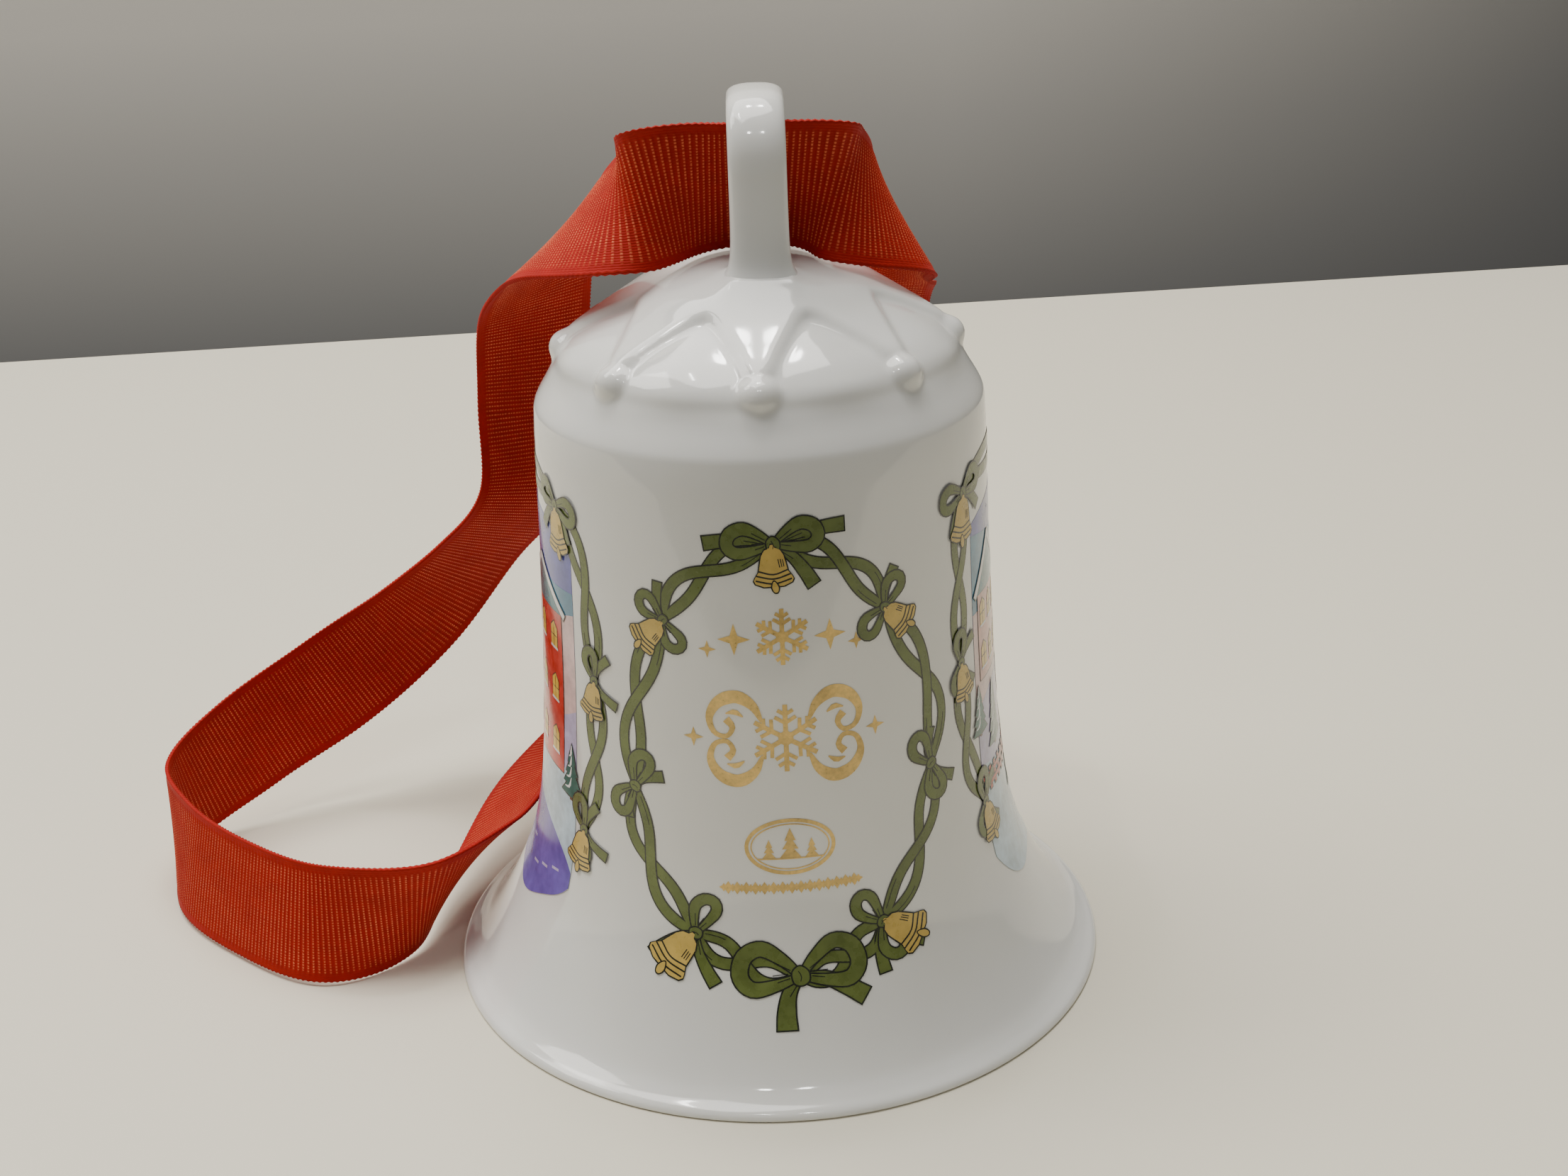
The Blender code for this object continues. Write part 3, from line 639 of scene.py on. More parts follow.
def make_strap(look):
    """The strap loop: a rounded band that spreads softly where it is luted to the crown."""
    line = strap_line()
    way = unit(np.gradient(line, axis=0))
    side = np.array([1.0, 0.0, 0.0])
    thick = np.cross(way, side)
    turn = np.linspace(0, 2 * math.pi, STRAP_SECTION, endpoint=False)
    cosine = squared(np.cos(turn), STRAP_SIDE_POWER)
    sine = squared(np.sin(turn), STRAP_FACE_POWER)
    plain = (
        line[:, None]
        + side * (cosine[None, :, None] * STRAP_WIDTH / 2)
        + thick[:, None] * (sine[None, :, None] * STRAP_THICKNESS / 2)
    )
    crown = crown_line()
    outward = side * np.cos(turn)[None, :, None] + thick[:, None] * np.sin(turn)[None, :, None]
    flare = np.zeros(plain.shape[:2])
    for _ in range(12):
        flared = plain + outward * flare[..., None]
        level = np.interp(np.hypot(flared[..., 0], flared[..., 1]), crown[::-1, 0], crown[::-1, 1])
        above = np.maximum(flared[..., 2] - level, 0)
        wanted = FOOT_FLARE * np.exp(-above / FOOT_FLARE_REACH) + LEG_SWELL * np.exp(-above / LEG_SWELL_REACH)
        flare = 0.6 * flare + 0.4 * wanted
    points = (plain + outward * flare[..., None]).reshape(-1, 3)
    faces = [tuple(f) for f in grid_faces(len(line), STRAP_SECTION, wrap=True)]
    faces += end_caps(len(line), STRAP_SECTION)
    return mesh_object("strap_loop", points, faces, look, "porcelain", "bell", ["loop_handle"])


# ---------------------------------------------------------------- clapper

def eyelet_height():
    """The height of the middle of the eyelet's lowest wire, where the link hangs."""
    return SHOULDER_HEIGHT + CROWN_RISE - WALL - EYELET_DROP


def link_height():
    """The height of the middle of the link's lowest wire, where the clapper hangs."""
    return eyelet_height() + EYELET_RADIUS + RUNNING_GAP + WIRE_RADIUS - 2 * LINK_RADIUS


def make_eyelet(look):
    """A U of porcelain luted to the inside of the crown, with spread feet."""
    low = eyelet_height() + EYELET_HALF_WIDTH
    crown = crown_line()
    vault = crown - WALL * normals_of(crown)
    ceiling = float(np.interp(EYELET_HALF_WIDTH + EYELET_RADIUS, vault[::-1, 0], vault[::-1, 1]))
    turn = np.linspace(0, math.pi, 33)
    arc = [(-EYELET_HALF_WIDTH * math.cos(t), 0, low - EYELET_HALF_WIDTH * math.sin(t)) for t in turn]
    legs = np.linspace(ceiling - 0.1, low, 14)[:-1]
    line = [(-EYELET_HALF_WIDTH, 0, z) for z in legs] + arc + [(EYELET_HALF_WIDTH, 0, z) for z in legs[::-1]]
    line = np.array(line)
    radii = EYELET_RADIUS * (1 + 0.3 * np.exp(-(ceiling - line[:, 2]) / 0.6))
    points, faces = tube(line, radii, 28)
    return mesh_object("clapper_eyelet", points, faces, look, "porcelain", "bell", ["hanger_eyelet"])


def make_link(look):
    """The closed wire ring, with its soldered joint at the side."""
    rows, section = 72, 18
    turn = np.linspace(0, 2 * math.pi, rows, endpoint=False)
    centre = link_height() + LINK_RADIUS
    small = np.linspace(0, 2 * math.pi, section, endpoint=False)
    swell = WIRE_RADIUS * (1 + 0.14 * np.exp(-((turn - math.pi) / 0.16) ** 2))
    reach = LINK_RADIUS + swell[:, None] * np.cos(small)
    x = swell[:, None] * np.sin(small)
    y = reach * np.cos(turn)[:, None]
    z = centre + reach * np.sin(turn)[:, None]
    points = np.stack([x, y, z], -1).reshape(-1, 3)
    faces = ring_faces(rows, section)
    return mesh_object("wire_link", points, faces, look, "brass_wire", "link", ["clapper_link"])


def make_rod(look):
    """The clapper's wire: an open eye round the link, a short neck, and the straight run down."""
    centre = link_height() + 2 * WIRE_RADIUS + RUNNING_GAP - EYE_RADIUS
    turn = np.radians(np.linspace(-48, 262, 60))
    eye = [(EYE_RADIUS * math.cos(t), 0.0, centre + EYE_RADIUS * math.sin(t)) for t in turn]
    bottom = BEAD_HEIGHT - BEAD_RADIUS - STOP_LENGTH - WIRE_TAIL
    neck = smooth_line([eye[-2], eye[-1], (0, 0, centre - EYE_RADIUS - 1.2)], 6)[7:]
    run = [(0, 0, z) for z in np.linspace(centre - EYE_RADIUS - 1.6, bottom, 40)]
    line = np.vstack([eye, neck, run])
    radii = np.full(len(line), WIRE_RADIUS)
    radii[0] = radii[-1] = 0.8 * WIRE_RADIUS
    points, faces = tube(line, radii, 18)
    return mesh_object("clapper_wire", points, faces, look, "brass_wire", "clapper", ["clapper_rod"])


def threaded(name, height, radius, half_length, look, slot, node, around):
    """A round bead with a rounded bore for the wire."""
    bore = WIRE_RADIUS + RUNNING_GAP
    reach = math.acos(bore / radius)
    line = []
    for turn in np.linspace(reach, -reach, 41):
        line.append((radius * math.cos(turn), height + half_length * math.sin(turn) / math.sin(reach)))
    soft = 0.25
    line[0] = (bore + soft, line[0][1] - 0.02)
    line[-1] = (bore + soft, line[-1][1] + 0.02)
    inner = np.linspace(-half_length + soft, half_length - soft, 9)
    line += [(bore, height + rise) for rise in inner]
    line = np.array(line)
    points = turned_points(line, around)
    faces = [f[::-1] for f in ring_faces(len(line), around)]
    return mesh_object(name, points, faces, look, slot, "clapper", [node])


def make_bead(look):
    """The clapper's round bead."""
    half = math.sqrt(BEAD_RADIUS**2 - 1)
    return threaded("clapper_ball", BEAD_HEIGHT, BEAD_RADIUS, half, look, "porcelain", "clapper_bead", 72)


def make_stop(look):
    """The small crimped bead that holds the clapper's bead up."""
    middle = BEAD_HEIGHT - BEAD_RADIUS - STOP_LENGTH / 2 - STOP_GAP
    half = STOP_LENGTH / 2 - STOP_SHORTER
    return threaded("crimped_stop", middle, STOP_RADIUS, half, look, "brass_wire", "bead_stop", 36)


# ---------------------------------------------------------------- ribbon

def ribbon_frame():
    """Fine centreline, cross direction and length along the ribbon, from one lapped end to the other."""
    route = [np.concatenate([p, w]) for p, w in RIBBON_ROUTE]
    steps = 24
    fine = np.roll(closed_line(route, steps), -int(round(SEAM_AFTER * steps)), axis=0)
    twice = np.vstack([fine, fine])
    along = lengths(twice[:, :3])
    once = along[len(fine)]
    return twice, along, once


def ribbon_rows(spacing):
    """The smoothed ribbon cut every so many millimetres, with its lapped ends moved apart."""
    twice, along, once = ribbon_frame()
    total = once + RIBBON_LAP
    wanted = np.linspace(0, total, int(round(total / spacing)) + 1)
    found = np.column_stack([np.interp(wanted, along, column) for column in twice.T])
    middle, across = found[:, :3], found[:, 3:]
    kernel = np.hanning(int(SMOOTHED_OVER / spacing) | 1)
    kernel /= kernel.sum()
    pad = len(kernel) // 2
    for column in range(3):
        padded = np.pad(middle[:, column], pad, "reflect", reflect_type="odd")
        middle[:, column] = np.convolve(padded, kernel, "valid")
    way = unit(np.gradient(middle, axis=0))
    across = unit(across - np.sum(across * way, 1)[:, None] * way)
    facing = np.cross(way, across)
    half = (RIBBON_THICKNESS + 2 * RIB_HEIGHT + LAP_GAP) / 2
    start = soft_step((2 * RIBBON_LAP - wanted) / RIBBON_LAP)
    end = soft_step((wanted - once + RIBBON_LAP) / RIBBON_LAP)
    middle = middle + (half * (end - start))[:, None] * facing
    return middle, way, across, facing, wanted, once


def make_ribbon(look):
    """The woven band as a closed mesh, with a rib across it every RIB_PITCH and a flat selvage."""
    middle, _, across, facing, place, _ = ribbon_rows(RIB_PITCH / 4)
    half = RIBBON_WIDTH / 2
    columns = np.array([-1, -0.97, -0.9, -0.85, -0.5, 0, 0.5, 0.85, 0.9, 0.97, 1]) * half
    rib = np.cos(2 * math.pi * place / RIB_PITCH)
    scallop = SCALLOP * rib
    edge = half - np.abs(columns)
    flat = soft_step((edge - 0.55 * SELVAGE) / (0.5 * SELVAGE))
    thick = RIBBON_THICKNESS / 2 * (1 + 0.35 * soft_step(1 - edge / 0.35)) + RIB_HEIGHT * 0.5
    wave = RIB_HEIGHT * flat[None, :] * rib[:, None]
    lift = thick[None, :] + wave
    width = columns[None, :] + np.sign(columns)[None, :] * (edge < SELVAGE_EDGE)[None, :] * scallop[:, None]
    surface = middle[:, None] + across[:, None] * width[..., None]
    upper = surface + facing[:, None] * lift[..., None]
    lower = surface - facing[:, None] * lift[..., None]
    ring = np.concatenate([upper, lower[:, ::-1]], axis=1)
    rows, count = ring.shape[0], ring.shape[1]
    faces = [tuple(f)[::-1] for f in grid_faces(rows, count, wrap=True)]
    last = (rows - 1) * count
    n = len(columns)
    for i in range(n - 1):
        faces.append((i, i + 1, count - 2 - i, count - 1 - i))
        faces.append((last + count - 1 - i, last + count - 2 - i, last + i + 1, last + i))
    ribbon = mesh_object(
        "woven_ribbon", ring.reshape(-1, 3), faces, look, "red_ribbon", "bell", ["hanging_ribbon"]
    )
    cross = np.concatenate([columns, columns[::-1]])
    weave = np.stack(np.broadcast_arrays(cross[None, :], place[:, None], half - np.abs(cross)[None, :]), -1)
    attribute = ribbon.data.attributes.new("weave", "FLOAT_VECTOR", "POINT")
    attribute.data.foreach_set("vector", weave.astype(np.float32).reshape(-1))
    return ribbon, place[-1]


def make_stitches(look):
    """Two rows of thread that hold the lapped ends together."""
    middle, way, across, facing, place, once = ribbon_rows(RIB_PITCH / 4)
    parts = []
    for along in (STITCH_INSET, RIBBON_LAP - STITCH_INSET):
        row = int(np.abs(place - along).argmin())
        other = int(np.abs(place - once - along).argmin())
        centre = (middle[row] + middle[other]) / 2
        reach = np.linalg.norm(middle[row] - middle[other]) / 2 + RIBBON_THICKNESS / 2 + RIB_HEIGHT
        for side in (-1, 1):
            for k in range(STITCHES):
                start = STITCH_FIRST + k * STITCH_PITCH
                line = []
                for t in np.linspace(0, 1, 9):
                    rise = reach + THREAD_BOW * math.sin(math.pi * t) - THREAD_SINK
                    aside = across[row] * (start + STITCH_LENGTH * t)
                    line.append(centre + aside + side * facing[row] * rise)
                parts.append(tube(np.array(line), THREAD_RADIUS, 8, aside=way[row]))
    points, faces = joined(parts)
    return mesh_object("ribbon_stitching", points, faces, look, "red_ribbon", "bell")


# ---------------------------------------------------------------- printed pictures

PRINT_RADIUS = 27.0
PRINT_LIFT = 0.03
LAYER = 0.012
FILM = 0.012
LINE = 0.16
FRONT = -math.pi / 2
RIBBON_PRINT = 1.12
WALL_FINE = wall_line(20)


def wall_at(height):
    """Radius and outward normal (radius, height) of the wall at each height."""
    line = WALL_FINE
    order = np.argsort(line[:, 1])
    outward = normals_of(line)
    columns = (line[:, 0], outward[:, 0], outward[:, 1])
    return [np.interp(height, line[order, 1], column[order]) for column in columns]


def mark_rim(mesh):
    """Keep the shading of a thin film flat up to its rim."""
    edges = np.zeros(len(mesh.loops), np.int32)
    mesh.loops.foreach_get("edge_index", edges)
    rim = np.bincount(edges, minlength=len(mesh.edges)) == 1
    mesh.attributes.new("sharp_edge", "BOOLEAN", "EDGE").data.foreach_set("value", rim)


class Picture:
    """A flat drawing in (u, v) that is laid on the wall round a middle angle, sorted by colour."""

    def __init__(self, middle):
        self.middle = middle
        self.parts = {}

    def lay(self, colour, points, faces, layer):
        """Put flat points on the wall, so many layers above the glaze."""
        points = np.asarray(points, float)
        angle = self.middle + points[:, 0] / PRINT_RADIUS
        radius, out, up = wall_at(points[:, 1])
        lift = PRINT_LIFT + LAYER * layer
        reach = radius + out * lift
        height = points[:, 1] + up * lift
        placed = np.column_stack([reach * np.cos(angle), reach * np.sin(angle), height])
        self.parts.setdefault(colour, []).append((placed, faces))

    def band(self, colour, start, end, low, high, layer, cell=1.0):
        """The area between two curves, from u = start to end."""
        columns = max(3, int((end - start) / cell) + 1)
        u = np.linspace(start, end, columns)
        lows, highs = low(u) + 0 * u, high(u) + 0 * u
        rows = max(2, int(np.max(highs - lows) / cell) + 1)
        share = np.linspace(0, 1, rows)[:, None]
        v = lows + (highs - lows) * share
        points = np.stack([np.tile(u, (rows, 1)), v], -1).reshape(-1, 2)
        self.lay(colour, points, grid_faces(rows, columns), layer)

    def area(self, colour, corners, layer, smooth=False, line=None, cell=0.9):
        """A shape that is seen whole from its middle, with an outline in another colour if line is given."""
        if smooth:
            rim = closed_line(corners, 6)
        else:
            closed = np.vstack([corners, corners[:1]]).astype(float)
            pieces = []
            for a, b in zip(closed, closed[1:]):
                count = max(1, int(math.ceil(np.linalg.norm(b - a) / cell)))
                pieces.append(a + (b - a) * np.linspace(0, 1, count, endpoint=False)[:, None])
            rim = np.vstack(pieces)
        middle = rim.mean(0)
        spokes = rim - middle
        turning = np.cross(rim, np.roll(rim, -1, axis=0)).sum()
        if turning < 0:
            spokes = spokes[::-1]
        if line is not None:
            wider = middle + spokes + unit(spokes) * LINE
            self.fan(line, middle, wider - middle, layer - 0.5, cell)
        self.fan(colour, middle, spokes, layer, cell)

    def fan(self, colour, middle, spokes, layer, cell):
        """Fill a rim with rings of faces round its middle."""
        rings = max(1, int(math.ceil(np.linalg.norm(spokes, axis=1).max() / cell)))
        shares = np.linspace(0, 1, rings + 1)[1:]
        count = len(spokes)
        points = np.vstack([[middle]] + [middle + spokes * share for share in shares])
        faces = [tuple(f)[::-1] for f in grid_faces(rings, count, wrap=True, first=1)]
        faces += [(0, 1 + j, 1 + (j + 1) % count) for j in range(count)]
        self.lay(colour, points, faces, layer)

    def stroke(self, colour, line, width, layer, edge=None, bend=True):
        """A band along a line; width is one number or several, spread along it."""
        line = smooth_line(line, 10) if bend and len(line) > 2 else np.asarray(line, float)
        count = max(4, int(lengths(line)[-1] / 0.4) + 1)
        layers = np.interp(np.linspace(0, 1, count), np.linspace(0, 1, np.size(layer)), np.ravel(layer))
        widths = np.interp(np.linspace(0, 1, count), np.linspace(0, 1, np.size(width)), np.ravel(width))
        line = resampled(line, count)
        way = unit(np.gradient(line, axis=0))
        if edge is not None:
            longer = line.copy()
            longer[0] -= way[0] * LINE
            longer[-1] += way[-1] * LINE
            self.ribbon(edge, longer, way, widths + 2 * LINE, layers - 0.5)
        self.ribbon(colour, line, way, widths, layers)

    def ribbon(self, colour, line, way, widths, layers):
        """A band of faces along a line that is cut already."""
        side = np.column_stack([-way[:, 1], way[:, 0]])
        spread = np.array([-0.5, 0.0, 0.5])
        points = line[:, None] + side[:, None] * (spread[None, :, None] * widths[:, None, None])
        faces = [tuple(f)[::-1] for f in grid_faces(len(line), 3)]
        self.lay(colour, points.reshape(-1, 2), faces, np.repeat(layers, 3))

    def finish(self, names):
        """One closed, thin mesh for each colour; names gives a colour its piece's name and its material."""
        for colour, parts in self.parts.items():
            name, look = names[colour]
            points, faces = joined(parts)
            obj = mesh_object(name, points, faces, look, "porcelain", "bell")
            mark_rim(obj.data)
            thick = obj.modifiers.new("film", "SOLIDIFY")
            thick.thickness = FILM * MM
            thick.offset = -1


def turned_to(points, place, turn, size=1.0):
    """Points of a small drawing, scaled, turned counter-clockwise by degrees and moved to a place."""
    angle = math.radians(turn)
    spin = np.array([[math.cos(angle), math.sin(angle)], [-math.sin(angle), math.cos(angle)]])
    return np.asarray(points, float) * size @ spin + np.asarray(place, float)


BELL_SHAPE = [
    (0.16, 0.1), (0.3, -0.25), (0.86, -0.5), (1.22, -1.1), (1.42, -2.0), (1.6, -2.9), (2.02, -3.5),
    (2.2, -3.85), (2.02, -4.25), (1.1, -4.62),
]


def small_bell(picture, place, turn, size=1.0):
    """A printed bell that hangs from a place, with its rim bands, shading strokes and clapper."""
    outline = BELL_SHAPE + [(-x, y) for x, y in BELL_SHAPE[::-1]]
    picture.area("bell", turned_to(outline, place, turn, size), 7, line="line")
    for depth, reach in ((2.95, 1.6), (3.45, 1.9), (4.0, 2.0)):
        arc = [(-reach, -depth + 0.12), (0, -depth - 0.32), (reach, -depth + 0.12)]
        picture.stroke("line", turned_to(arc, place, turn, size), 0.17, 8)
    for x in (0.6, 0.85, 1.08):
        dash = [(x, -1.5 - 0.1 * x), (x + 0.14, -2.6 + 0.15 * x)]
        picture.stroke("line", turned_to(dash, place, turn, size), 0.1, 8)
    clapper = [(0.1, -4.1), (0.45, -4.7), (0.38, -5.25), (0.02, -5.3), (-0.22, -4.8), (-0.12, -4.2)]
    picture.area("bell", turned_to(clapper, place, turn, size), 9, smooth=True, line="line")


BOW_LOOP = [
    (0.0, 0.0), (1.2, 1.0), (2.7, 1.75), (4.0, 1.3), (4.35, 0.2), (3.5, -0.55), (1.8, -0.4), (0.0, 0.0),
]


def bow(picture, place, turn, size=1.0, tails=((1, -35, 4.4), (-1, -60, 3.8)), layer=4.5, spread=1.0):
    """Two loops, a knot and tails: each tail is (side, degrees below level, length)."""
    for side in (-1, 1):
        loop = [(x * side, y * spread) for x, y in BOW_LOOP]
        widths = np.array([0.45, 0.8, 1.15, 1.2, 1.15, 1.05, 0.75, 0.4]) * size
        picture.stroke("green", turned_to(loop, place, turn, size), widths, layer + 0.4 * side, edge="line")
        for start, end in (((0.7, 0.5), (1.9, 1.28)), ((0.9, 0.25), (2.0, 0.2)), ((0.8, -0.1), (1.7, -0.33))):
            fold = [(start[0] * side, start[1]), (end[0] * side, end[1])]
            picture.stroke("line", turned_to(fold, place, turn, size), 0.09, layer + 1.4, bend=False)
    for side, below, length in tails:
        dip = math.radians(below)
        way = np.array([side * math.cos(dip), math.sin(dip)])
        across = np.array([-way[1], way[0]]) * side
        line = [
            (0, 0), way * 0.35 * length + across * 0.35, way * 0.7 * length + across * 0.1,
            way * length - across * 0.35,
        ]
        widths = np.array([0.45, 0.9, 1.15, 1.3]) * size
        picture.stroke("green", turned_to(line, place, turn, size), widths, layer - 1.6, edge="line")
        fold = [way * 0.5, way * 0.42 * length + across * 0.25]
        picture.stroke("line", turned_to(fold, place, turn, size), 0.09, layer - 0.7, bend=False)
    knot = [(0.55, 0.3), (0.0, 0.75), (-0.55, 0.35), (-0.5, -0.45), (0.0, -0.7), (0.55, -0.4)]
    picture.area("green", turned_to(knot, place, turn, size), layer + 2, smooth=True, line="line")
    crease = [(-0.15, 0.4), (0.05, 0.0), (-0.05, -0.4)]
    picture.stroke("line", turned_to(crease, place, turn, size), 0.09, layer + 2.6)


def twined(picture, path, knots, sway=1.25, width=RIBBON_PRINT):
    """Two ribbons that leave one knot, cross once and meet at the next; knots are shares of the path."""
    along = lengths(path) / lengths(path)[-1]
    way = unit(np.gradient(path, axis=0))
    side = np.column_stack([-way[:, 1], way[:, 0]])
    for start, end in zip(knots, knots[1:]):
        shares = np.linspace(start, end, 60)
        middle = np.column_stack([np.interp(shares, along, column) for column in path.T])
        aside = np.column_stack([np.interp(shares, along, column) for column in side.T])
        t = np.linspace(0, 1, 60)
        swing = sway * np.sin(2 * math.pi * t) * (0.75 + 0.25 * np.sin(math.pi * t))
        leaving, meeting = np.clip(t * 3, 0, 0.5), np.clip((1 - t) * 3, 0, 0.5)
        pinch = width * (0.55 + 0.45 * np.sin(math.pi * leaving) * np.sin(math.pi * meeting))
        for sign in (-1, 1):
            line = middle + aside * (sign * swing)[:, None]
            over = 2.2 + sign * 1.1 * np.exp(-(((t - 0.5) / 0.22) ** 2))
            picture.stroke("green", line, pinch, over, edge="line", bend=False)
            fold = line[4:16] + aside[4:16] * 0.18 * sign
            picture.stroke("line", fold, 0.08, over.max() + 0.6, bend=False)


WREATH = [
    (0.85, 62.4), (-7.4, 58.9), (-11.9, 53.4), (-16.0, 42.4), (-16.1, 33.0), (-14.6, 25.3), (-8.6, 17.2),
    (1.9, 12.9), (10.9, 17.2), (16.7, 25.0), (19.0, 33.5), (19.7, 42.2), (13.5, 53.6), (9.0, 59.2),
]
WREATH_KNOTS = [0, 2, 4, 6, 7, 8, 10, 12, 14]


def draw_wreath(picture):
    """The oval of two twined ribbons on the front, with bows and bells."""
    steps = 16
    path = closed_line(WREATH, steps)
    path = np.vstack([path, path[:1]])
    along = lengths(path) / lengths(path)[-1]
    twined(picture, path, [along[k * steps] for k in WREATH_KNOTS])
    bow(picture, WREATH[0], 4, 1.15, ((1, 10, 7.0), (-1, 8, 6.6), (1, -48, 5.6)))
    small_bell(picture, (0.7, 62.3), 2, 0.98)
    bow(picture, WREATH[2], 130, 0.82, ((1, -30, 5.2),))
    small_bell(picture, (-12.0, 53.1), -48, 0.92)
    bow(picture, WREATH[12], 52, 0.85, ((1, 25, 5.4),))
    small_bell(picture, (13.4, 53.5), 52, 0.92)
    bow(picture, WREATH[4], 62, 0.95, ((-1, -10, 4.2), (1, -30, 4.2)))
    bow(picture, WREATH[10], 112, 0.95, ((1, -20, 4.4), (-1, -25, 4.6)))
    bow(picture, WREATH[6], 60, 0.95, ((-1, 30, 5.8), (-1, -50, 6.0)))
    small_bell(picture, (-8.9, 17.0), -38, 1.1)
    bow(picture, WREATH[8], 118, 0.92, ((-1, 38, 5.8), (-1, -20, 5.8)))
    small_bell(picture, (11.0, 17.3), 55, 1.06)
    bow(picture, WREATH[7], 3, 1.35, ((1, -24, 4.9), (-1, -66, 4.0)), layer=6, spread=1.35)


def star(picture, colour, place, size, points, layer, inner=0.4):
    """A star whose hollows are a share of its size from its middle."""
    rim = []
    for k in range(2 * points):
        reach = size if k % 2 == 0 else size * inner
        angle = math.pi * k / points + math.pi / 2
        rim.append((place[0] + reach * math.cos(angle), place[1] + reach * math.sin(angle)))
    picture.area(colour, np.array(rim), layer, cell=0.8)


def snowflake(picture, colour, place, size, layer):
    """Six arms with two pairs of branches, round a small hexagon."""
    arm_width, twig_width = 0.2 * size**0.5 + 0.14, 0.15 * size**0.5 + 0.12
    for k in range(6):
        turn = 60 * k + 90
        arm = turned_to([(0.12, 0), (1, 0)], place, turn, size)
        picture.stroke(colour, arm, arm_width, layer, bend=False)
        for out, length in ((0.45, 0.3), (0.7, 0.22)):
            for side in (-1, 1):
                twig = turned_to([(out, 0), (out + length * 0.62, side * length)], place, turn, size)
                picture.stroke(colour, twig, twig_width, layer + 0.3, bend=False)
    star(picture, colour, place, 0.26 * size, 6, layer + 0.5, 0.8)


SCROLL = [
    (2.6, -0.3), (3.6, 1.5), (5.4, 2.5), (7.4, 1.9), (8.5, 0.2), (8.0, -1.5), (6.6, -1.9), (5.9, -0.9),
    (6.6, 0.0),
]
SCROLL_WIDTHS = [0.35, 0.95, 1.45, 1.5, 1.15, 0.75, 0.55, 0.55, 0.9]
SCROLL_LEAF = [(4.6, 0.3), (5.5, 0.85), (6.5, 0.65)]


def oval(place, reach, turns):
    """Points round an oval at the turns given."""
    return [(place[0] + reach[0] * math.cos(t), place[1] + reach[1] * math.sin(t)) for t in turns]


def draw_gold(picture):
    """A plain gold ornament inside the wreath: snowflakes, stars, scrolls, an oval with firs, and a rule."""
    middle = 1.5
    snowflake(picture, "gold", (middle, 52.0), 3.2, 1)
    for side in (-1, 1):
        star(picture, "gold", (middle + side * 5.3, 51.8), 1.8, 4, 1, 0.34)
        star(picture, "gold", (middle + side * 8.3, 50.6), 1.0, 4, 1, 0.34)
    snowflake(picture, "gold", (middle, 40.3), 3.9, 1)
    for side in (-1, 1):
        for flip, centre in ((1, 42.6), (-1, 38.0)):
            line = [(middle + side * x * 0.98, centre + flip * y * 1.05) for x, y in SCROLL]
            picture.stroke("gold", line, SCROLL_WIDTHS, 1 + 0.5 * flip)
            leaf = [(middle + side * x, centre + flip * y) for x, y in SCROLL_LEAF]
            picture.stroke("gold", leaf, [0.15, 0.7, 0.12], 2.2)
        star(picture, "gold", (middle + side * 10.2, 40.3), 1.15, 4, 1, 0.34)
    round_turns = np.linspace(0, 2 * math.pi, 49)
    for reach, width in (((4.7, 3.1), 0.42), ((4.2, 2.65), 0.14)):
        picture.stroke("gold", oval((middle, 27.5), reach, round_turns), width, 1, bend=False)
    for x, size in ((0, 1.0), (-2.3, 0.62), (2.3, 0.62)):
        for k in range(3):
            half, low = (1.15 - 0.27 * k) * size, 26.2 + 1.0 * k * size
            tier = [(middle + x - half, low), (middle + x + half, low), (middle + x, low + 1.5 * size)]
            picture.area("gold", np.array(tier), 1 + 0.5 * k)
    picture.stroke("gold", [(middle - 3.6, 26.1), (middle + 3.6, 26.1)], 0.16, 2.6, bend=False)
    rule = np.linspace(-7.2, 7.2, 31)
    for k, x in enumerate(rule):
        star(picture, "gold", (middle + x, 22.7), 0.75 if k % 2 else 0.5, 4, 1, 0.55)
    picture.stroke("gold", [(middle - 7.6, 22.7), (middle + 7.6, 22.7)], 0.18, 2, bend=False)


BACK = math.radians(183 - 90)
BACK_HALF = 57.5


def fir(picture, place, size, layer):
    """A fir tree of four snowy tiers."""
    u, v = place
    wide, narrow, root = 0.28 * size, 0.2 * size, v - 0.6 * size
    trunk = [(u - wide, root), (u + wide, root), (u + narrow, v), (u - narrow, v)]
    picture.area("brown", np.array(trunk), layer)
    for k in range(4):
        half, low = (2.3 - 0.48 * k) * size, v + 1.35 * k * size
        tier = [(u - half, low), (u, low - 0.25 * size), (u + half, low), (u, low + 2.4 * size)]
        picture.area("pine", np.array(tier), layer + 0.5 + 0.3 * k, line="line")
        snow = [(u - half * x, low + y * size) for x, y in ((0.62, 0.75), (0.2, 0.95), (0, 2.2))]
        picture.stroke("snow", snow, [0.12, 0.4 * size, 0.1], layer + 1.2 + 0.3 * k)


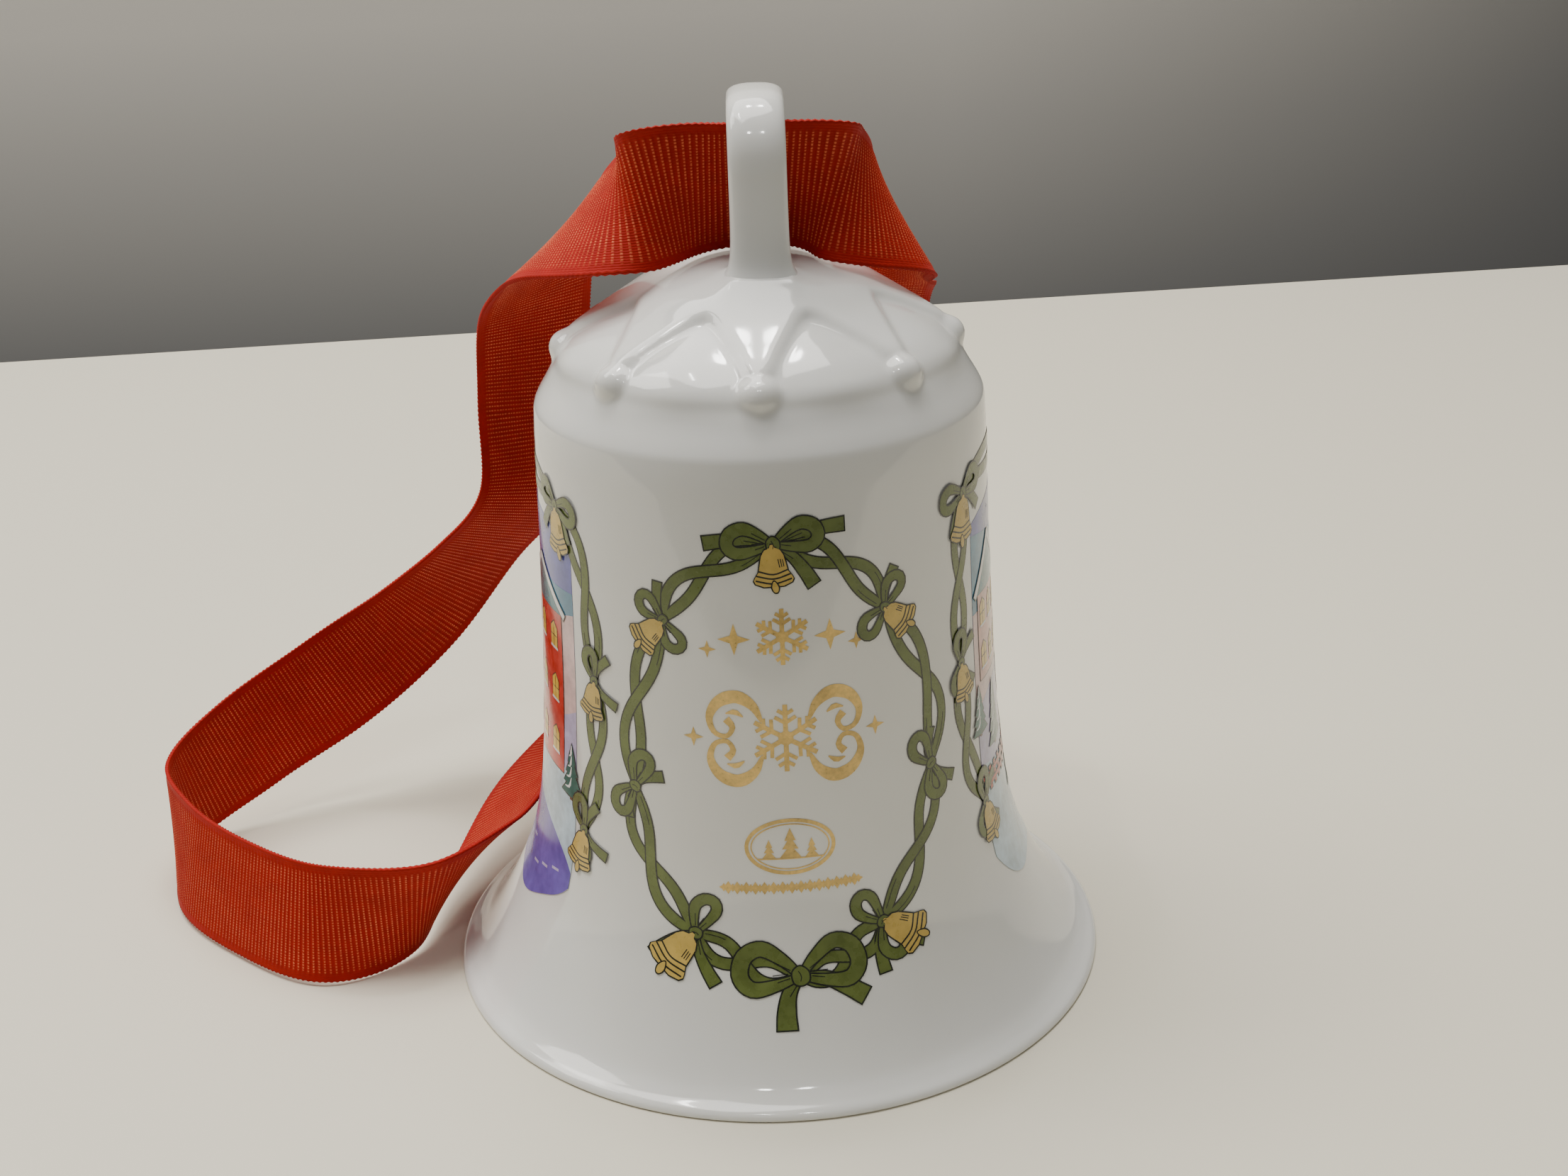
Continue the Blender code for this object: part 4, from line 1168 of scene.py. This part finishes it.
def house(picture, corner, width, height, roof, colours, layer, windows):
    """A snow-roofed house: colours are its wall and roof, windows its (columns, rows)."""
    u, v = corner
    wall, top = colours
    box = [(u, v), (u + width, v), (u + width, v + height), (u, v + height)]
    picture.area(wall, np.array(box), layer, line="line")
    eave = 0.7
    gable = [(u - eave, v + height), (u + width + eave, v + height), (u + width / 2, v + height + roof)]
    picture.area(top, np.array(gable), layer + 1, line="line")
    ridge = [
        (u - eave - 0.2, v + height), (u + width / 2, v + height + roof + 0.2),
        (u + width + eave + 0.2, v + height),
    ]
    picture.stroke("snow", ridge, 0.75, layer + 2, edge="line", bend=False)
    columns, rows = windows
    for i in range(columns):
        for j in range(rows):
            x = u + width * (i + 0.5) / columns
            y = v + height * (j + 0.52) / rows
            w, h = min(1.0, width / columns * 0.3), min(1.35, height / rows * 0.33)
            sill, head = y - h, y + h * 0.7
            pane = [(x - w, sill), (x + w, sill), (x + w, head), (x, y + h * 1.25), (x - w, head)]
            picture.area("lamp", np.array(pane), layer + 2, line="line")
            picture.stroke("line", [(x, y - h), (x, y + h)], 0.1, layer + 2.8, bend=False)
            picture.stroke("line", [(x - w, y), (x + w, y)], 0.1, layer + 2.8, bend=False)
            ledge = [(x - w - 0.15, sill - 0.15), (x + w + 0.15, sill - 0.15)]
            picture.stroke("snow", ledge, 0.28, layer + 3, bend=False)


def picture_low(u):
    """The picture's lower edge."""
    return 12.0 + 5.0 * (np.abs(u) / BACK_HALF) ** 16 + 0.5 * np.sin(u * 0.5)


def picture_high(u):
    """The picture's upper edge."""
    return 61.5 - 3.0 * (np.abs(u) / BACK_HALF) ** 6


def wave(u, size, length, start=0.0):
    return size * np.sin(u / length + start)


def hills(u):
    return 46 + wave(u, 3.4, 9.5, 2.0) + wave(u, 1.5, 4.3)


def snow_bank(u):
    return 17.5 + 6.5 * np.sin((u - 27) / 31 * math.pi) ** 0.6


def pond_low(u):
    return 16.0 + 0.6 * np.cos(u / 3)


def pond_high(u):
    return 16.0 + 5.0 * np.cos((u + 2) / 14 * math.pi / 2) ** 0.6


# Each house: its lower left corner, width, height, roof, (wall, roof) colours, layer and windows.
HOUSES = [
    ((40.5, 30.0), 14.0, 19.5, 5.0, ("red", "teal_roof"), 6, (3, 3)),
    ((-56.0, 39.0), 9.5, 10.5, 6.0, ("pink", "teal_roof"), 6, (3, 2)),
    ((-46.0, 33.0), 8.0, 9.0, 4.6, ("red", "teal_roof"), 7, (2, 2)),
    ((-30.0, 31.0), 11.0, 10.0, 5.4, ("ochre", "red"), 7, (3, 2)),
    ((-12.0, 32.0), 8.0, 14.0, 7.5, ("pink", "violet"), 7, (2, 3)),
    ((-3.4, 31.0), 9.0, 8.0, 4.4, ("red", "teal_roof"), 8, (2, 1)),
    ((14.0, 31.5), 10.0, 10.0, 5.2, ("pale_blue", "red"), 7, (3, 2)),
    ((28.5, 30.5), 8.5, 12.5, 6.0, ("ochre", "teal_roof"), 7, (2, 2)),
]
FIRS = [
    ((-57, 33), 0.9), ((-52, 30), 1.2), ((-37.5, 29), 1.5), ((-34, 31), 1.0), ((-17.5, 29.5), 1.6),
    ((-13.5, 27.5), 1.0), ((8.5, 29), 1.6), ((12.0, 27), 1.0), ((25.5, 28.5), 1.4), ((38.0, 27), 1.3),
    ((56.5, 28), 1.0), ((-25, 22), 1.3), ((20.0, 20.5), 1.5), ((-44, 21), 1.5),
]
FENCES = [(-57, -40, 26.2), (-8, 6, 25.4), (30, 41, 25.0)]
STARS = 46


def draw_land(picture):
    """Sky, far hills, snow and a pond, from the back forward."""
    half = BACK_HALF
    picture.band("violet_sky", -half, half, lambda u: 46 + wave(u, 2, 17, 1), picture_high, 0)
    picture.band("teal_sky", -half, half, lambda u: 38, lambda u: 55.5 + wave(u, 2.6, 13, 0.6), 1)
    picture.band("pink_snow", -half, half, lambda u: 33, hills, 2)
    picture.band("lilac", -half, half, lambda u: 22, lambda u: 37 + wave(u, 2.6, 8.0) + wave(u, 1, 3.1), 3)
    picture.band("pale_blue", -half, half, picture_low, lambda u: 29 + wave(u, 2.2, 11, 2.2), 4)
    picture.band("violet", 27, half, picture_low, snow_bank, 5, 0.8)
    picture.band("violet", -16, 12, pond_low, pond_high, 5, 0.8)


def draw_back(picture):
    """A made-up winter village at dusk, all round the back of the bell."""
    half = BACK_HALF
    draw_land(picture)
    moon = oval((-6, 55), (3.2, 3.2), np.linspace(0, 5.9, 18))
    picture.area("lamp", np.array(moon), 3, smooth=True, line="line")
    rng = random.Random(7)
    for _ in range(STARS):
        place = (rng.uniform(-half + 2, half - 2), rng.uniform(49, 60))
        star(picture, "snow", place, rng.uniform(0.22, 0.5), 4, 4, 0.4)

    for description in HOUSES:
        house(picture, *description)
    for place, size in FIRS:
        fir(picture, place, size, 9)
    for start, end, level in FENCES:
        count = int((end - start) / 1.6)
        for k in range(count + 1):
            x = start + (end - start) * k / count
            picture.stroke("red", [(x, level - 1.2), (x, level + 1.6)], 0.62, 8, edge="line", bend=False)
        for rise in (-0.4, 0.8):
            rail = [(start - 0.5, level + rise), (end + 0.5, level + rise)]
            picture.stroke("red", rail, 0.42, 8.8, edge="line", bend=False)
    for k in range(9):
        u = 31 + 2.8 * k
        picture.stroke("lilac", [(u, 15.5 + k % 3), (u + 1.6, 15.8 + k % 3)], 0.3, 6, bend=False)
    for k in range(7):
        u = -12 + 3.2 * k
        picture.stroke("lilac", [(u, 17.0 + k % 2), (u + 1.8, 17.2 + k % 2)], 0.3, 6, bend=False)


GARLAND = [
    (-59.6, 63.0), (-60.4, 57.0), (-61.0, 43.4), (-60.2, 31.0), (-57.6, 24.5), (-58.6, 17.0), (-50, 12.3),
    (-36, 11.4), (-18, 10.6), (0, 10.3), (18, 10.6), (36, 11.4), (50, 12.3), (58.8, 16.4), (59.4, 25.0),
    (61.0, 33.0), (61.4, 44.0), (59.8, 56.0), (54.5, 62.6), (40, 64.4), (20, 63.2), (0, 64.8),
    (-20, 63.2), (-40, 64.4), (-54, 64.6),
]
GARLAND_KNOTS = [[0, 2, 4], [8, 9, 10], [14, 16, 18, 20, 21, 22, 25]]


def draw_garland(picture):
    """The twined ribbons that frame the back picture, with a bow and a bell at most knots."""
    steps = 16
    path = closed_line(GARLAND, steps)
    path = np.vstack([path, path[:1]])
    along = lengths(path) / lengths(path)[-1]
    for stretch in GARLAND_KNOTS:
        twined(picture, path, [along[k * steps] for k in stretch])
    for index, turn, size, lean in (
        (0, 10, 0.95, -6), (2, 80, 0.8, 8), (4, 80, 0.85, 12), (14, 100, 0.85, -10), (16, 95, 0.8, -10),
        (18, -12, 0.95, 6),
    ):
        bow(picture, GARLAND[index], turn, size, ((1, -38, 4.8), (-1, -48, 5.2)), layer=13)
        small_bell(Raised(picture, 9), (GARLAND[index][0], GARLAND[index][1] - 0.3), lean, size * 1.15)
    for indices, size, dip, length in (
        ((20, 22), 0.95, -40, 4.2), ((9, 21), 1.25, -28, 4.6), ((8, 10), 0.9, -20, 4.2),
    ):
        for index in indices:
            bow(picture, GARLAND[index], 0, size, ((1, dip, length), (-1, dip, length)), layer=13)
    for index in (20, 21, 22):
        small_bell(Raised(picture, 9), (GARLAND[index][0], GARLAND[index][1] - 0.3), 0, 1.1)


class Raised:
    """A picture drawn some layers higher."""

    def __init__(self, picture, layers):
        self.picture, self.layers = picture, layers

    def area(self, colour, corners, layer, **rest):
        self.picture.area(colour, corners, layer + self.layers, **rest)

    def stroke(self, colour, line, width, layer, **rest):
        self.picture.stroke(colour, line, width, layer + self.layers, **rest)


def print_names():
    """Each printed colour's piece name and material, for the front and the back."""
    green = print_look("print_olive", (0.12, 0.155, 0.035), 0.28, 0.2)
    line = print_look("print_dark_line", (0.018, 0.02, 0.014), 0.25, 0.2)
    bell = print_look("print_bell_gold", (0.6, 0.42, 0.1), 0.3, 0.15)
    gold = print_look("print_gold", (0.7, 0.48, 0.15), 0.36, 0.3, 0.3, 2400.0)
    looks = {"green": green, "line": line, "bell": bell}
    front = {key: ("wreath_" + key, look) for key, look in looks.items()}
    front["gold"] = ("gold_ornament", gold)
    back = {key: ("garland_" + key, look) for key, look in looks.items()}
    colours = {
        "violet_sky": (0.09, 0.1, 0.42), "teal_sky": (0.06, 0.22, 0.36), "pink_snow": (0.72, 0.5, 0.5),
        "lilac": (0.5, 0.45, 0.66), "pale_blue": (0.52, 0.66, 0.76), "violet": (0.14, 0.11, 0.44),
        "lamp": (0.85, 0.55, 0.08), "snow": (0.8, 0.8, 0.82), "red": (0.6, 0.03, 0.015),
        "pink": (0.72, 0.36, 0.32), "ochre": (0.7, 0.4, 0.14), "teal_roof": (0.03, 0.19, 0.24),
        "pine": (0.02, 0.13, 0.11), "brown": (0.14, 0.06, 0.03),
    }
    for key, colour in colours.items():
        back[key] = ("picture_" + key, print_look("print_" + key, colour, 0.2, 0.2))
    return front, back


# ---------------------------------------------------------------- stage

TABLE_FRONT = -150.0
SENSOR = 36.0
LENS = 45.56962
CAMERA_PLACE = (0.0, -0.2169, 0.13825)
YAW, PITCH, ROLL = 0.0096, 0.4001, -0.0340


def plain_look(name, colour, roughness):
    """A matt paint; its nodes are handed back so that more can be added."""
    m = Nodes(name, colour, roughness)
    m.shader.inputs["Specular IOR Level"].default_value = 0.25
    return m


def shaded_wall_look():
    """Grey paint with painted shade: darker towards the table and towards the far right."""
    m = plain_look("wall_paint_painted_shade", (0.75, 0.72, 0.66), 0.7)
    split = m.add("ShaderNodeSeparateXYZ")
    m.link(m.place(), split.inputs["Vector"])
    # painted light and shade: the wall lighter up high and darker down towards the table
    up = m.map(split.outputs["Z"], -0.08, 0.045, 0.0, 1.0)
    # painted shade: darker towards the far right
    right = m.map(split.outputs["X"], 0.08, 0.34, 0.0, 0.75)
    grey = m.mix(up, (0.31, 0.305, 0.295), (0.77, 0.735, 0.665))
    m.colour(m.mix(right, grey, (0.15, 0.15, 0.15)))
    return m.material


def make_stage():
    """A pale table top that ends behind the bell, and a grey wall beyond it."""
    table = [(-900, 208, 0), (900, 384, 0), (900, TABLE_FRONT, 0), (-900, TABLE_FRONT, 0)]
    paint = plain_look("table_paint", (0.75, 0.71, 0.59), 0.35).material
    mesh_object("table_top", table, [(3, 2, 1, 0)], paint, None, None)
    wall = [(-1300, 520, -500), (1300, 640, -500), (1300, 640, 900), (-1300, 520, 900)]
    mesh_object("back_wall", wall, [(0, 1, 2, 3)], shaded_wall_look(), None, None)


def make_camera():
    """The photograph's viewpoint: 0.217 m in front, 0.138 m up, turned 23 degrees down."""
    ahead = np.array([math.sin(YAW) * math.cos(PITCH), math.cos(YAW) * math.cos(PITCH), -math.sin(PITCH)])
    level = unit(np.cross(ahead, [0, 0, 1]))
    above = np.cross(level, ahead)
    right = math.cos(ROLL) * level + math.sin(ROLL) * above
    up = -math.sin(ROLL) * level + math.cos(ROLL) * above
    data = bpy.data.cameras.new("photo_camera")
    data.sensor_width = SENSOR
    data.lens = LENS
    data.clip_start = 0.01
    camera = bpy.data.objects.new("photo_camera", data)
    bpy.context.scene.collection.objects.link(camera)
    turn = Matrix([[right[i], up[i], -ahead[i]] for i in range(3)]).to_4x4()
    camera.matrix_world = Matrix.Translation(Vector(CAMERA_PLACE)) @ turn
    bpy.context.scene.camera = camera


def area_light(name, place, target, size, power, colour, shape="SQUARE", size_y=None):
    """A flat lamp at a place, aimed at a target; with size_y it is a rectangle."""
    data = bpy.data.lights.new(name, "AREA")
    data.energy = power
    data.color = colour
    data.size = size
    if size_y is not None:
        data.shape = "RECTANGLE"
        data.size_y = size_y
    else:
        data.shape = shape
    light = bpy.data.objects.new(name, data)
    bpy.context.scene.collection.objects.link(light)
    light.location = place
    aim = Vector(target) - Vector(place)
    light.rotation_mode = "QUATERNION"
    light.rotation_quaternion = aim.to_track_quat("-Z", "Y")


def make_lights():
    """A wide lamp overhead, a smaller one on the left, small bright lamps, and a dim room all round."""
    warm, white = (1.0, 0.97, 0.92), (1.0, 0.985, 0.96)
    area_light("ceiling", (-0.2, 0.28, 1.25), (0, 0, 0.05), 1.0, 21.0, warm)
    area_light("window", (-0.75, 0.1, 0.9), (0, 0, 0.05), 0.4, 3.5, warm)
    for side in (-1, 1):
        area_light("lamp_%d" % side, (0.09 * side, 0.37, 1.5), (0, 0, 0.09), 0.1, 1.7, white, "DISK")
        area_light("front_lamp_%d" % side, (0.12 * side, -0.75, 1.1), (0, 0, 0.09), 0.08, 1.0, white, "DISK")
    area_light("lamp_long", (-0.43, -0.03, 1.43), (0, 0, 0.09), 0.22, 1.2, white, size_y=0.03)
    world = bpy.data.worlds.new("room")
    bpy.context.scene.world = world
    world.use_nodes = True
    background = world.node_tree.nodes["Background"]
    background.inputs["Color"].default_value = (0.62, 0.62, 0.6, 1)
    background.inputs["Strength"].default_value = 0.18


# ---------------------------------------------------------------- all together

make_camera()
make_stage()
make_lights()

glaze = porcelain_look()
brass = brass_look()
weave = ribbon_look()
thread = thread_look()

make_bell(glaze)
make_strap(glaze)
make_eyelet(glaze)
make_link(brass)
make_rod(brass)
make_bead(glaze)
make_stop(brass)
front_names, back_names = print_names()
front = Picture(FRONT)
draw_wreath(front)
draw_gold(front)
front.finish(front_names)
back = Picture(BACK)
draw_back(back)
draw_garland(back)
back.finish(back_names)

ribbon, ribbon_length = make_ribbon(weave)
stitches = make_stitches(thread)
